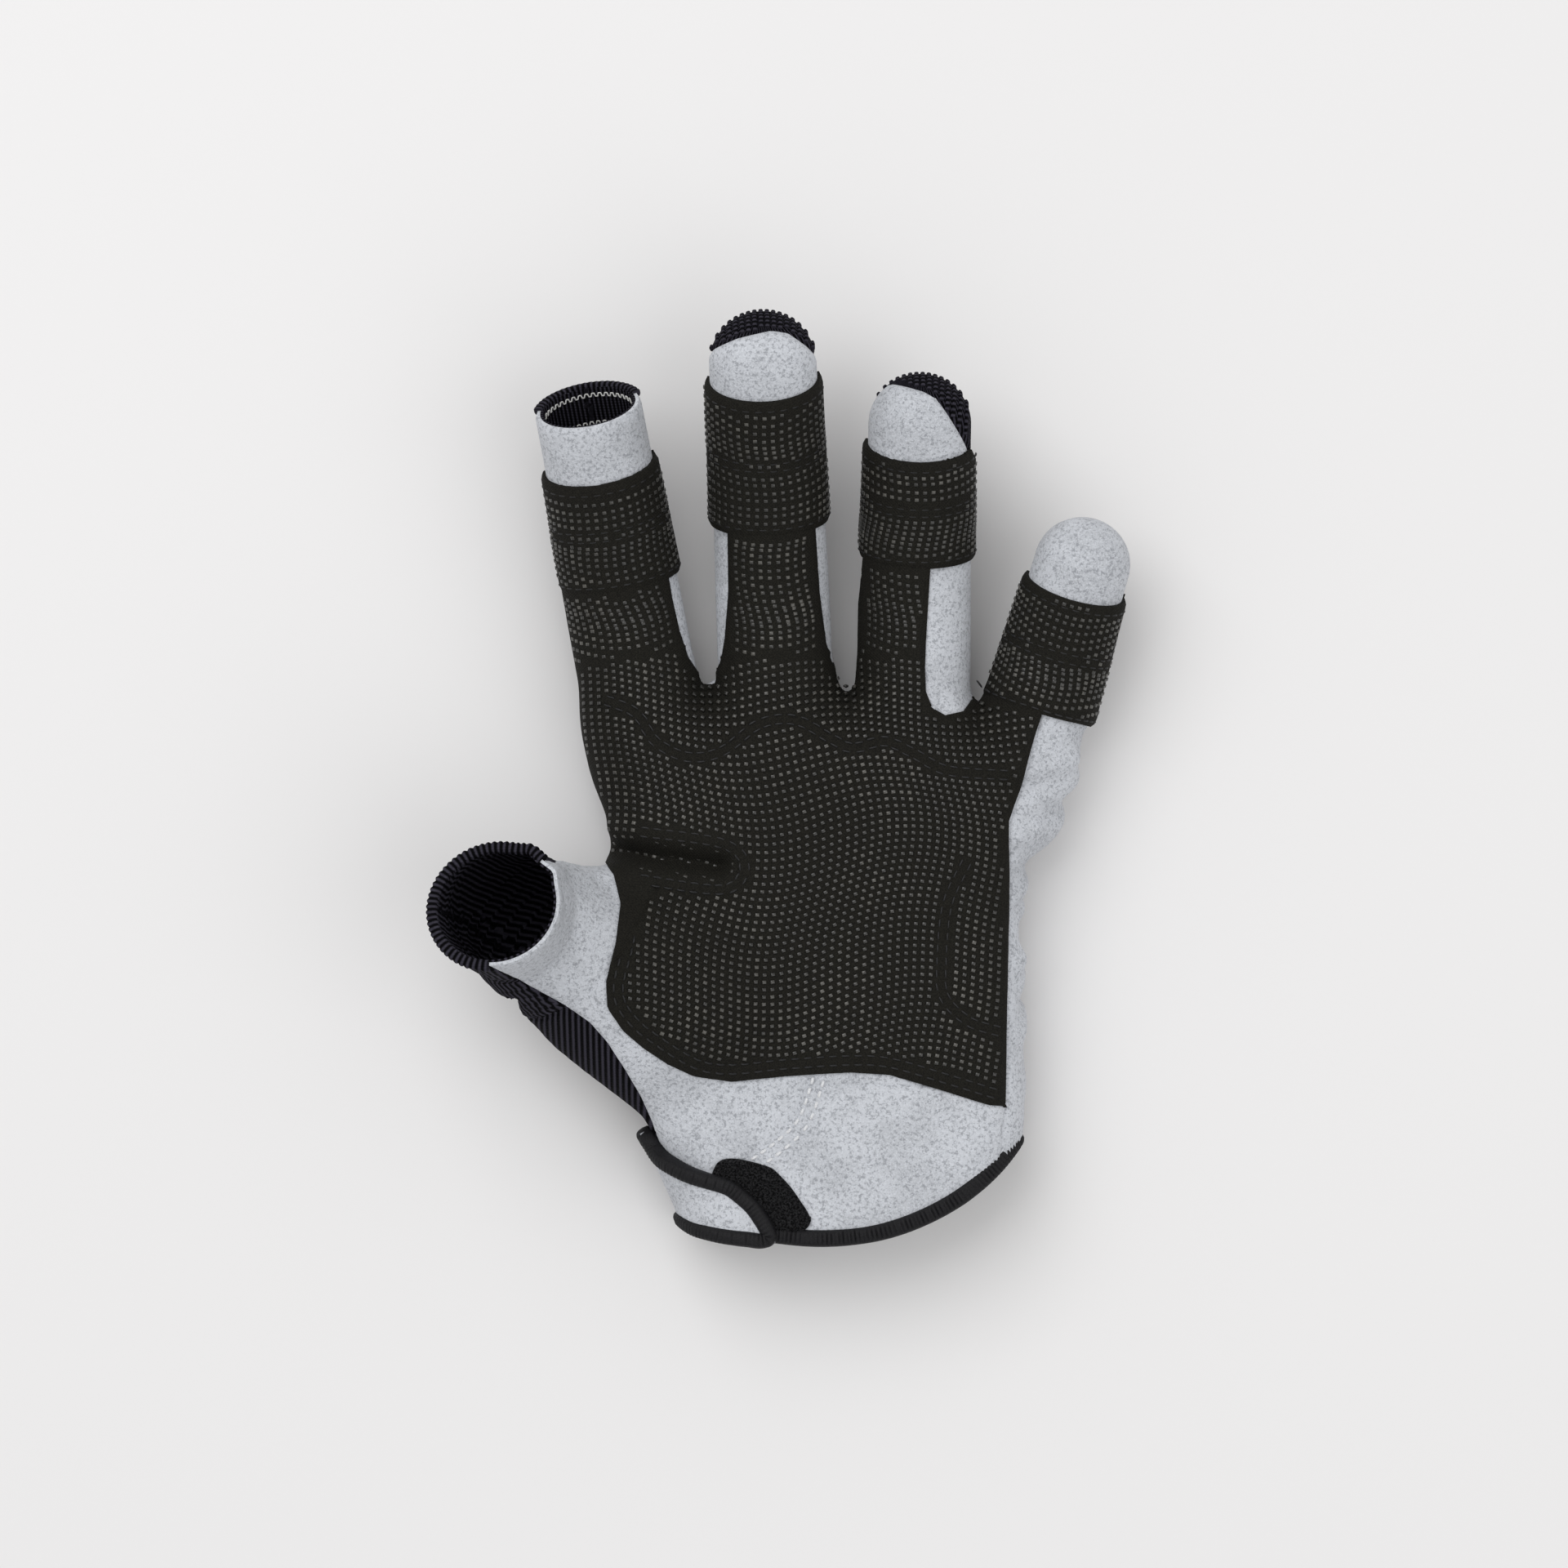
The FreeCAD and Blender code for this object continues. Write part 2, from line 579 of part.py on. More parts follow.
def build_hand(hand, lining, region):
    """Panels of the hand body, its cuff binding and the palm patch."""
    shell_region = hand_region("panel_region", "dims.cuff_radius - dims.binding_width")
    shell = cut("hand_shell", hand, lining)
    trimmed = common("hand_trimmed", shell, shell_region)
    side, far = f"-{REACH}", f"{REACH}"
    thumb_hole = thumb_base_form("thumb_hole_form", "dims.seam_gap - dims.wall")
    open_shell = cut("hand_open", trimmed, thumb_hole)
    low = box("low_slab", (side, side, "0"), (far, far, "dims.back_seam_z"))
    middle = box("middle_slab", (side, side, "dims.back_seam_z"), (far, far, "dims.palm_seam_z"))
    high = box("high_slab", (side, side, "dims.palm_seam_z"), (far, far, far))
    hand_part = box("hand_part", (side, "dims.wrist_seam_y", side), (far, far, far))
    wrist_part = box("wrist_part", (side, side, side), (far, "dims.wrist_seam_y", far))
    thumb_front = box("thumb_front_part", (side, "dims.thumb_base_y", side), ("0", far, far))
    thumb_rear = box("thumb_rear_part", (side, side, side), ("0", "dims.thumb_base_y", far))
    little_part = box("little_part", ("0", side, side), (far, far, far))
    base_part = box("thumb_base_part", (side, side, side), ("dims.thenar_seam_x", far, far))
    parts = {
        "back_panel": common("back_panel", open_shell, low),
        "palm_panel": common("palm_panel", open_shell, high, hand_part),
        "thumb_side_gusset": common("thumb_side_gusset", open_shell, middle, thumb_front),
        "wrist_side_gusset": common("wrist_side_gusset", open_shell, middle, thumb_rear),
        "little_side_gusset": common("little_side_gusset", open_shell, middle, little_part),
    }
    wrist = common("wrist_top", open_shell, high, wrist_part)
    parts["thumb_base_panel"] = common("thumb_base_panel", wrist, base_part)
    parts["wrist_palm_panel"] = cut("wrist_palm_panel", wrist, base_part)
    thick_lining = hand_form("binding_lining", "-dims.wall - dims.binding_thickness")
    above_ground = box("above_ground", (side, side, "0"), (far, far, far))
    band = cut("binding_band", common("binding_room", hand, region, above_ground), shell_region)
    parts["cuff_binding"] = cut("cuff_binding", band, thick_lining)
    return parts


def build_patch(region):
    """Grip patch on the palm, a seam gap above the panel."""
    under = hand_form("patch_seat", "dims.seam_gap")
    over = hand_form("patch_top", "dims.seam_gap + dims.grip_thickness")
    layer = common("patch_layer", cut("patch_skin", over, under), region)
    sketch = loose_sketch("patch_outline", ("0", "dims.patch_heel_y", "dims.palm_seam_z + dims.wall"))
    add_rounded_rectangle(sketch, "dims.patch_thumb_side", "dims.patch_little_side", "0",
                          "dims.knuckle_y - dims.patch_heel_y + dims.patch_corner", "dims.patch_corner")
    pad_region = extrude("patch_region", sketch, "dims.hand_height")
    reserve = thumb_base_form("thumb_patch_room", "dims.seam_gap")
    return {"palm_grip_patch": cut("palm_grip_patch", common("patch_plan", layer, pad_region), reserve)}


def strap_region(name, inset, start):
    """Round-ended plan of the strap, inset from its edge, from a station along it."""
    turn = FreeCAD.Rotation(Z_AXIS, value("dims.strap_turn"))
    sketch = loose_sketch(f"{name}_outline", ("dims.strap_x", "dims.strap_y", "-dims.hand_height"), turn)
    half = value(f"dims.strap_half_width - ({inset})")
    reach, first = value("dims.strap_reach"), value(start)
    points = [Vector(reach, half, 0), Vector(first, half, 0), Vector(first, -half, 0), Vector(reach, -half, 0)]
    lines = [sketch.addGeometry(Part.LineSegment(a, b)) for a, b in zip(points, points[1:])]
    circle = Part.Circle(Vector(reach, 0, 0), Z_AXIS, half)
    arc = sketch.addGeometry(Part.ArcOfCircle(circle, -math.pi / 2, math.pi / 2))
    for a, b in zip(lines, lines[1:]):
        sketch.addConstraint(Sketcher.Constraint("Coincident", a, 2, b, 1))
    sketch.addConstraint(Sketcher.Constraint("Tangent", lines[2], 2, arc, 1))
    sketch.addConstraint(Sketcher.Constraint("Tangent", arc, 2, lines[0], 1))
    sketch.addConstraint(Sketcher.Constraint("Horizontal", lines[0]))
    sketch.addConstraint(Sketcher.Constraint("Vertical", lines[1]))
    sketch.addConstraint(Sketcher.Constraint("Horizontal", lines[2]))
    sketch.addConstraint(Sketcher.Constraint("PointOnObject", arc, 3, -1))
    bind(sketch, Sketcher.Constraint("Radius", arc, half), f"dims.strap_half_width - ({inset})")
    bind(sketch, Sketcher.Constraint("DistanceX", -1, 1, arc, 3, reach), "dims.strap_reach")
    bind(sketch, Sketcher.Constraint("DistanceX", -1, 1, lines[1], 1, first), start)
    return extrude(name, sketch, "3 * dims.hand_height")


def skin_layer(name, base, thickness):
    """Layer that follows the hand between two distances from it."""
    return cut(name, hand_form(f"{name}_over", f"({base}) + ({thickness})"), hand_form(f"{name}_under", base))


def build_strap():
    """Loop patch and anchor on the wrist; fold, tab, binding and hook patch of the strap."""
    loop_base = "dims.seam_gap"
    hook_base = f"{loop_base} + dims.loop_thickness + dims.moving_gap"
    tab_base = f"{hook_base} + dims.hook_thickness + dims.seam_gap"
    hook_layer = skin_layer("hook_layer", hook_base, "dims.hook_thickness")
    tab_layer = skin_layer("tab_layer", tab_base, "dims.strap_thickness")
    edge_layer = skin_layer("edge_layer", hook_base, "dims.hook_thickness + 2 * dims.strap_thickness")
    whole = strap_region("strap_whole", "0", "0")
    inner = strap_region("strap_inner", "dims.strap_edge", "0")
    hooked = strap_region("strap_hooked", "dims.strap_edge + dims.seam_gap", "dims.hook_patch_start")
    far = f"{REACH}"
    fold_low = "dims.strap_hinge_z - dims.strap_fold_half"
    fold_high = "dims.strap_hinge_z + dims.strap_fold_half"
    above = box("strap_above", (f"-{REACH}", f"-{REACH}", fold_high), (far, far, far))
    fold_slab = box("strap_fold_slab", (f"-{REACH}", f"-{REACH}", fold_low), (far, far, fold_high))
    below = box("strap_below", (f"-{REACH}", f"-{REACH}", "dims.back_seam_z"), ("0", far, fold_low))
    parts = {
        "strap_tab": common("strap_tab", tab_layer, inner, above),
        "strap_binding": common("strap_binding", edge_layer, cut("strap_rim", whole, inner), above),
        "hook_patch": common("hook_patch", hook_layer, hooked, above),
        "strap_fold": common("strap_fold", tab_layer, whole, fold_slab),
        "strap_anchor": common("strap_anchor", skin_layer("anchor_layer", loop_base,
                               f"{tab_base} + dims.strap_thickness - dims.seam_gap"), whole, below),
    }
    sketch = loose_sketch("loop_outline", ("dims.loop_patch_x", "dims.loop_patch_y", "dims.hand_height / 2"),
                          FreeCAD.Rotation(Z_AXIS, value("dims.strap_turn") * 2))
    add_rounded_rectangle(sketch, "dims.loop_patch_half_length", "dims.loop_patch_half_length",
                          "-dims.loop_patch_half_width", "dims.loop_patch_half_width", "3 * dims.loop_thickness")
    loop_region = extrude("loop_region", sketch, "dims.hand_height")
    parts["loop_patch"] = common("loop_patch", skin_layer("loop_layer", loop_base, "dims.loop_thickness"),
                                 loop_region)
    return parts


def check_document():
    """Stop if any object of the document has failed."""
    for item in doc.Objects:
        if "Invalid" in item.State or "Error" in item.State:
            raise RuntimeError(f"{item.Name} failed: {item.State}")


def write_parts(parts):
    """Check every piece, label it with its node name and write its STEP file."""
    os.makedirs("parts", exist_ok=True)
    for name, item in parts.items():
        item.Label = name
        shape = item.Shape
        if shape.isNull() or not shape.isValid() or not shape.Solids:
            raise RuntimeError(f"{name} has no valid solid")
    for name, item in parts.items():
        item.Shape.exportStep(f"parts/{name}.step")
        print(f"{name}: {len(item.Shape.Solids)} solid, {item.Shape.Volume:.0f} mm3")


def report_joints():
    """Print the hinge points, which follow the sizes."""
    for finger in FINGERS:
        hinge = finger_places(finger)[3]
        print(f"{finger} hinge at {hinge.x:.3f}, {hinge.y:.3f}, {hinge.z:.3f}")
    hinge = thumb_places()[2]
    print(f"thumb hinge at {hinge.x:.3f}, {hinge.y:.3f}, {hinge.z:.3f}")


def main():
    """Build the glove and write its pieces."""
    fill_sheet()
    hand = hand_form("hand_form", "0")
    lining = hand_form("hand_lining", "-dims.wall")
    hand_skin = hand_form("hand_skin", "dims.seam_gap")
    region = hand_region("hand_region", "dims.cuff_radius")
    parts = build_hand(hand, lining, region)
    parts.update(build_patch(region))
    for finger in FINGERS:
        parts.update(build_finger(finger, region))
    parts.update(build_webs(region))
    parts.update(build_thumb(hand_skin))
    parts.update(build_strap())
    doc.recompute()
    check_document()
    write_parts(parts)
    report_joints()


main()
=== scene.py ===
"""Looks of a left-hand sailing glove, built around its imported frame.

Shapes are worked out in millimetres in the frame's own axes and turned into metres when a mesh is made.
The glove's cloth is one smooth form, cut along its seams into panels that have real thickness.
"""

import json
import logging
import math
from dataclasses import dataclass, field
from enum import Enum
from typing import Callable, Sequence

import bpy
import numpy as np
import openvdb
from mathutils.kdtree import KDTree
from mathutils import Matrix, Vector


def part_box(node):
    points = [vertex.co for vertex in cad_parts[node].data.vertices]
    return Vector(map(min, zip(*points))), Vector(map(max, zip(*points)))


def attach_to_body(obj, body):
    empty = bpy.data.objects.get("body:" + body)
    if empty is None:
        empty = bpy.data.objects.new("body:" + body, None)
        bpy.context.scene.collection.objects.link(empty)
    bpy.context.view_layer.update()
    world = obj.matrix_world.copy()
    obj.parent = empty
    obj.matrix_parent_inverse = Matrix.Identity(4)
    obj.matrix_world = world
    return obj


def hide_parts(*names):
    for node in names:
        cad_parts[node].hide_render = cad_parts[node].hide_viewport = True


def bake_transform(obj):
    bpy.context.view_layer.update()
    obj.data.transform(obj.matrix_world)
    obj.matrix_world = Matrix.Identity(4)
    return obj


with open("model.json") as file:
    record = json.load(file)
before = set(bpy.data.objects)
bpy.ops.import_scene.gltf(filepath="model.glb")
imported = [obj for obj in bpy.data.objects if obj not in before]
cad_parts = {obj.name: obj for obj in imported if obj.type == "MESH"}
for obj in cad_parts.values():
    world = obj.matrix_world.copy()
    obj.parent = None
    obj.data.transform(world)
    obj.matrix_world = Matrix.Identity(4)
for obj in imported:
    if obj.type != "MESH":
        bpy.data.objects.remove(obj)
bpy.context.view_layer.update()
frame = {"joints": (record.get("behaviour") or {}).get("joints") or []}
LOG = logging.getLogger("glove")
MM = 0.001
TABLE_CLEARANCE = 0.02
CURVE_STEPS = 24
SNAP = 0.04
SHARP_ANGLE = math.radians(55)
FAR = 99.0
FAR_BACK = 1e3
WEB_BOTTOMS = ((-25.1, 48.0), (5.1, 50.2), (33.5, 42.5))
Field = Callable[[np.ndarray], np.ndarray]


# ---------------------------------------------------------------- small maths


def unit(vectors: np.ndarray) -> np.ndarray:
    """Vectors of length one."""
    return vectors / np.maximum(np.linalg.norm(vectors, axis=-1, keepdims=True), 1e-9)


def smooth_step(low: float, high: float, values: np.ndarray) -> np.ndarray:
    """Smooth rise from 0 at low to 1 at high."""
    share = np.clip((values - low) / (high - low), 0.0, 1.0)
    return share * share * (3.0 - 2.0 * share)


def soft_min(a: np.ndarray, b: np.ndarray, blend: float) -> np.ndarray:
    """Smaller of two distances, rounded over a blend length.

    Args:
        a: first distances.
        b: second distances.
        blend: length over which the corner is rounded.

    Returns:
        The rounded minimum.
    """
    mix = np.maximum(blend - np.abs(a - b), 0.0) / blend
    return np.minimum(a, b) - mix * mix * blend * 0.25


def walk(line: np.ndarray) -> np.ndarray:
    """Length walked from the start of a line to each of its points."""
    return np.concatenate([[0.0], np.cumsum(np.linalg.norm(np.diff(line, axis=0), axis=1))])


def curve_through(points: Sequence[Sequence[float]], spacing: float, closed: bool = False) -> np.ndarray:
    """Evenly spaced points on a smooth curve through given points.

    Args:
        points: points that the curve passes through.
        spacing: distance between the returned points.
        closed: whether the curve returns to its first point.

    Returns:
        Array of points, one row each.
    """
    knots = np.asarray(points, float)
    ends = (knots[-1], knots[:2]) if closed else (knots[0], knots[-1])
    padded = np.vstack([ends[0], knots, ends[1]])
    rows = []
    for p0, p1, p2, p3 in zip(padded, padded[1:], padded[2:], padded[3:]):
        t = np.linspace(0.0, 1.0, CURVE_STEPS, endpoint=False)[:, None]
        rows.append(0.5 * (2 * p1 + (p2 - p0) * t + (2 * p0 - 5 * p1 + 4 * p2 - p3) * t**2
                           + (3 * p1 - p0 - 3 * p2 + p3) * t**3))
    rows.append(padded[-2:-1])
    dense = np.vstack(rows)
    walked = walk(dense)
    count = max(int(round(walked[-1] / spacing)), 2)
    stops = np.linspace(0.0, walked[-1], count + 1)
    return np.column_stack([np.interp(stops, walked, dense[:, i]) for i in range(dense.shape[1])])


def polygon_distance(outline: np.ndarray, points: np.ndarray) -> np.ndarray:
    """Signed distance in plan to a closed outline, positive inside.

    Args:
        outline: corners in order, one row each.
        points: plan points, one row each.

    Returns:
        Distance of each point.
    """
    nearest = np.full(len(points), np.inf)
    inside = np.zeros(len(points), bool)
    for a, b in zip(outline, np.roll(outline, -1, axis=0)):
        edge, rel = b - a, points - a
        share = np.clip(rel @ edge / max(edge @ edge, 1e-9), 0.0, 1.0)
        nearest = np.minimum(nearest, np.linalg.norm(rel - share[:, None] * edge, axis=1))
        crosses = (a[1] > points[:, 1]) != (b[1] > points[:, 1])
        if abs(edge[1]) > 1e-9:
            crossing_x = a[0] + (points[:, 1] - a[1]) * edge[0] / edge[1]
            inside ^= crosses & (points[:, 0] < crossing_x)
    return np.where(inside, nearest, -nearest)


# ---------------------------------------------------------------- shader building


class Socket:
    """A shader value that builds Math nodes when it is used in an expression."""

    def __init__(self, tree: "Tree", link: object) -> None:
        """Wrap an output socket of a tree."""
        self.tree = tree
        self.link = link

    def _math(self, operation: str, *values: object) -> "Socket":
        """Math node of this socket's tree."""
        return self.tree.node("ShaderNodeMath", {"operation": operation}, dict(enumerate(values)))

    def __add__(self, other: object) -> "Socket":
        """Sum."""
        return self._math("ADD", self, other)

    def __mul__(self, other: object) -> "Socket":
        """Product."""
        return self._math("MULTIPLY", self, other)

    def sine(self) -> "Socket":
        """Sine of the value in radians."""
        return self._math("SINE", self)

    def ramp(self, low: float, high: float) -> "Socket":
        """Smooth 0 to 1 between two values."""
        limits = {"Value": self, "From Min": low, "From Max": high}
        return self.tree.node("ShaderNodeMapRange", {"interpolation_type": "SMOOTHSTEP"}, limits)


class Tree:
    """Node tree of one material."""

    def __init__(self, name: str) -> None:
        """Start a material with an empty tree and a principled shader."""
        self.material = bpy.data.materials.new(name)
        self.material.use_nodes = True
        self.nodes = self.material.node_tree.nodes
        self.nodes.clear()
        self.output = self.nodes.new("ShaderNodeOutputMaterial")
        self.shader = self.nodes.new("ShaderNodeBsdfPrincipled")
        self.connect(self.shader.outputs[0], self.output.inputs["Surface"])

    def connect(self, source: object, target: object) -> None:
        """Link a socket, or write a plain value."""
        if isinstance(source, Socket):
            source = source.link
        if isinstance(source, bpy.types.NodeSocket):
            self.material.node_tree.links.new(source, target)
        elif target.type == "RGBA" and len(source) == 3:
            target.default_value = (*source, 1.0)
        else:
            target.default_value = source

    def node(self, kind: str, settings: dict, inputs: dict, output: object = 0) -> Socket:
        """Add one node.

        Args:
            kind: node type.
            settings: node properties, set first.
            inputs: socket name or index to value or link.
            output: name or index of the socket that is returned.

        Returns:
            The chosen output.
        """
        item = self.nodes.new(kind)
        for name, setting in settings.items():
            setattr(item, name, setting)
        for key, source in inputs.items():
            self.connect(source, item.inputs[key])
        return Socket(self, item.outputs[output])

    def rest(self) -> Socket:
        """Place on the glove at rest, in millimetres."""
        return self.node("ShaderNodeAttribute", {"attribute_name": "rest"}, {}, "Vector")

    def attribute(self, name: str) -> Socket:
        """A number stored on the mesh."""
        return self.node("ShaderNodeAttribute", {"attribute_name": name}, {}, "Fac")

    def noise(self, place: Socket, scale: float, detail: float = 2.0, rough: float = 0.5) -> Socket:
        """Noise of a size per millimetre."""
        inputs = {"Vector": place, "Scale": scale, "Detail": detail, "Roughness": rough}
        return self.node("ShaderNodeTexNoise", {}, inputs)

    def mix(self, factor: object, first: object, second: object) -> Socket:
        """Mix of two colours."""
        return self.node("ShaderNodeMix", {"data_type": "RGBA"}, {0: factor, 6: first, 7: second}, 2)

    def bump(self, height: Socket, distance: float) -> Socket:
        """Bump from a height, with its depth in millimetres."""
        inputs = {"Height": height, "Distance": distance * MM, "Strength": 1.0}
        return self.node("ShaderNodeBump", {}, inputs)

    def axis(self, place: Socket, letter: str) -> Socket:
        """One coordinate of a place."""
        return self.node("ShaderNodeSeparateXYZ", {}, {0: place}, letter)

    def finish(self, color: object, roughness: object, normal: Socket | None = None,
               **constants: float) -> bpy.types.Material:
        """Set the shader's sockets.

        Args:
            color: colour value or link.
            roughness: roughness value or link.
            normal: bump link, if any.
            constants: further sockets with one value all over.

        Returns:
            The finished material.
        """
        self.connect(color, self.shader.inputs["Base Color"])
        self.connect(roughness, self.shader.inputs["Roughness"])
        if normal is not None:
            self.connect(normal, self.shader.inputs["Normal"])
        for name, number in constants.items():
            label = name.replace("_", " ").title().replace("Ior", "IOR")
            self.connect(number, self.shader.inputs[label])
        return self.material


@dataclass(frozen=True)
class ClothFinish:
    """A finish that is mixed from shades of one colour, and the slot that it fills."""

    name: str
    slot: str
    base: tuple

    def shade(self, share: float) -> tuple:
        """The base colour made darker or lighter."""
        return tuple(share * channel for channel in self.base)

    def mottle(self, tree: Tree, factor: Socket, dark: float, light: float) -> Socket:
        """Mix of a darker and a lighter shade."""
        return tree.mix(factor, self.shade(dark), self.shade(light))


@dataclass(frozen=True)
class Suede(ClothFinish):
    """Light grey synthetic suede with darker flecks."""

    fleck: tuple = (0.225, 0.235, 0.258)
    fleck_scale: float = 1.15
    cloud_scale: float = 0.07
    nap_scale: float = 2.6
    nap_depth: float = 0.3
    roughness: float = 0.93

    def make(self) -> bpy.types.Material:
        """Build the material."""
        tree = Tree(self.name)
        place = tree.rest()
        fine = tree.noise(place, self.fleck_scale, 4.0, 0.8)
        broad = tree.noise(place, self.cloud_scale, 3.0)
        nap = tree.noise(place, self.nap_scale, 3.0, 0.65)
        cloudy = tree.mix(broad.ramp(0.4, 0.62) * 0.7, self.base, self.shade(0.8))
        light = tree.mix(nap.ramp(0.48, 0.6) * 0.5, cloudy, self.shade(1.22))
        color = tree.mix(fine.ramp(0.49, 0.61) * 0.7, light, self.fleck)
        normal = tree.bump(fine * 0.6 + nap * 0.4, self.nap_depth)
        return tree.finish(color, self.roughness, normal, sheen_weight=0.12, sheen_roughness=0.5,
                           specular_ior_level=0.25)


@dataclass(frozen=True)
class GripCloth(ClothFinish):
    """Near-black woven cloth under the raised squares."""

    weave_rate: float = 9.0
    weave_depth: float = 0.1
    roughness: float = 0.8

    def make(self) -> bpy.types.Material:
        """Build the material."""
        tree = Tree(self.name)
        place = tree.rest()
        across, along = ((tree.axis(place, axis) * self.weave_rate).sine() for axis in "XY")
        fuzz = tree.noise(place, 3.0, 3.0, 0.6)
        color = self.mottle(tree, fuzz.ramp(0.3, 0.75), 0.7, 1.9)
        normal = tree.bump(across * along * 0.5 + fuzz, self.weave_depth)
        return tree.finish(color, self.roughness, normal, specular_ior_level=0.12)


@dataclass(frozen=True)
class GripSquare(ClothFinish):
    """Glossy printed rubber of the raised squares, with painted highlights: lighter patches that stand for
    glints.
    """

    grain_scale: float = 0.42
    painted_glint_scale: float = 0.05
    smoothest: float = 0.24

    def make(self) -> bpy.types.Material:
        """Build the material."""
        tree = Tree(self.name)
        place = tree.rest()
        grain, painted_glint = (tree.noise(place, scale, 2.0) for scale in (self.grain_scale, self.painted_glint_scale))
        # Painted highlight: the squares are coloured up to 4.4 times lighter in broad patches, standing for
        # glints.
        color = self.mottle(tree, grain.ramp(0.42, 0.62) * painted_glint.ramp(0.34, 0.62), 1.0, 4.4)
        roughness = grain * 0.12 + self.smoothest
        return tree.finish(color, roughness, tree.bump(grain, 0.04), specular_ior_level=0.6)


@dataclass(frozen=True)
class RibKnit(ClothFinish):
    """Black ribbed stretch knit with painted light and shade on its ribs; its ribs run along the stored rib
    coordinate.
    """

    pitch: float = 1.35
    stitch_rate: float = 10.5
    rib_depth: float = 0.6
    roughness: float = 0.86

    def make(self) -> bpy.types.Material:
        """Build the material."""
        tree = Tree(self.name)
        place = tree.rest()
        wave = (tree.attribute("rib") * (2.0 * math.pi / self.pitch)).sine() * 0.5 + 0.5
        stitch = (tree.axis(place, "Y") * self.stitch_rate).sine() * 0.5 + 0.5
        fuzz = tree.noise(place, 2.4, 3.0, 0.6)
        # Painted light and shade: rib crests coloured lighter and grooves darker, mixed with random fuzz tone.
        color = self.mottle(tree, (wave * 0.7 + fuzz * 0.3).ramp(0.25, 0.8), 0.2, 5.0)
        normal = tree.bump(wave + stitch * 0.22 + fuzz * 0.3, self.rib_depth)
        return tree.finish(color, self.roughness, normal, specular_ior_level=0.05)


@dataclass(frozen=True)
class Fibre(ClothFinish):
    """Tape, pile or thread: one noise that gives both the tone and the bump."""

    grain: tuple
    ramp: tuple
    shades: tuple
    depth: float
    roughness: float
    gloss: float

    def make(self) -> bpy.types.Material:
        """Build the material."""
        tree = Tree(self.name)
        fuzz = tree.noise(tree.rest(), *self.grain)
        color = self.mottle(tree, fuzz.ramp(*self.ramp), *self.shades)
        return tree.finish(color, self.roughness, tree.bump(fuzz, self.depth), specular_ior_level=self.gloss)


def thread(name: str, slot: str, base: tuple) -> Fibre:
    """Sewing thread of one colour."""
    return Fibre(name, slot, base, (6.0, 2.0), (0.3, 0.8), (0.7, 1.15), 0.05, 0.55, 0.45)


class Finish(Enum):
    """Every finish of the glove."""

    SUEDE = Suede("suede_cloth", "grey_suede", (0.558, 0.577, 0.615))
    GRIP = GripCloth("grip_cloth", "grip_fabric", (0.0088, 0.0082, 0.0064))
    SQUARE = GripSquare("grip_square", "grip_fabric", (0.016, 0.0152, 0.0132))
    KNIT = RibKnit("knit_cloth", "rib_knit", (0.0085, 0.0080, 0.0108))
    TAPE = Fibre("binding_tape", "elastic_binding", (0.0075, 0.0073, 0.0085),
                 (4.0, 3.0, 0.6), (0.3, 0.75), (0.5, 1.9), 0.12, 0.55, 0.2)
    PILE = Fibre("pile_cloth", "fastening_pile", (0.0085, 0.0085, 0.009),
                 (2.2, 4.0, 0.75), (0.42, 0.6), (0.4, 4.5), 0.8, 0.9, 0.06)
    BLACK_THREAD = thread("black_thread", "grip_fabric", (0.0042, 0.004, 0.0045))
    GREY_THREAD = thread("grey_thread", "grey_suede", (0.78, 0.79, 0.81))
    WHITE_THREAD = thread("white_thread", "rib_knit", (0.72, 0.72, 0.70))

    def material(self) -> bpy.types.Material:
        """The finish's material, built once."""
        return bpy.data.materials.get(self.value.name) or self.value.make()


# ---------------------------------------------------------------- meshes


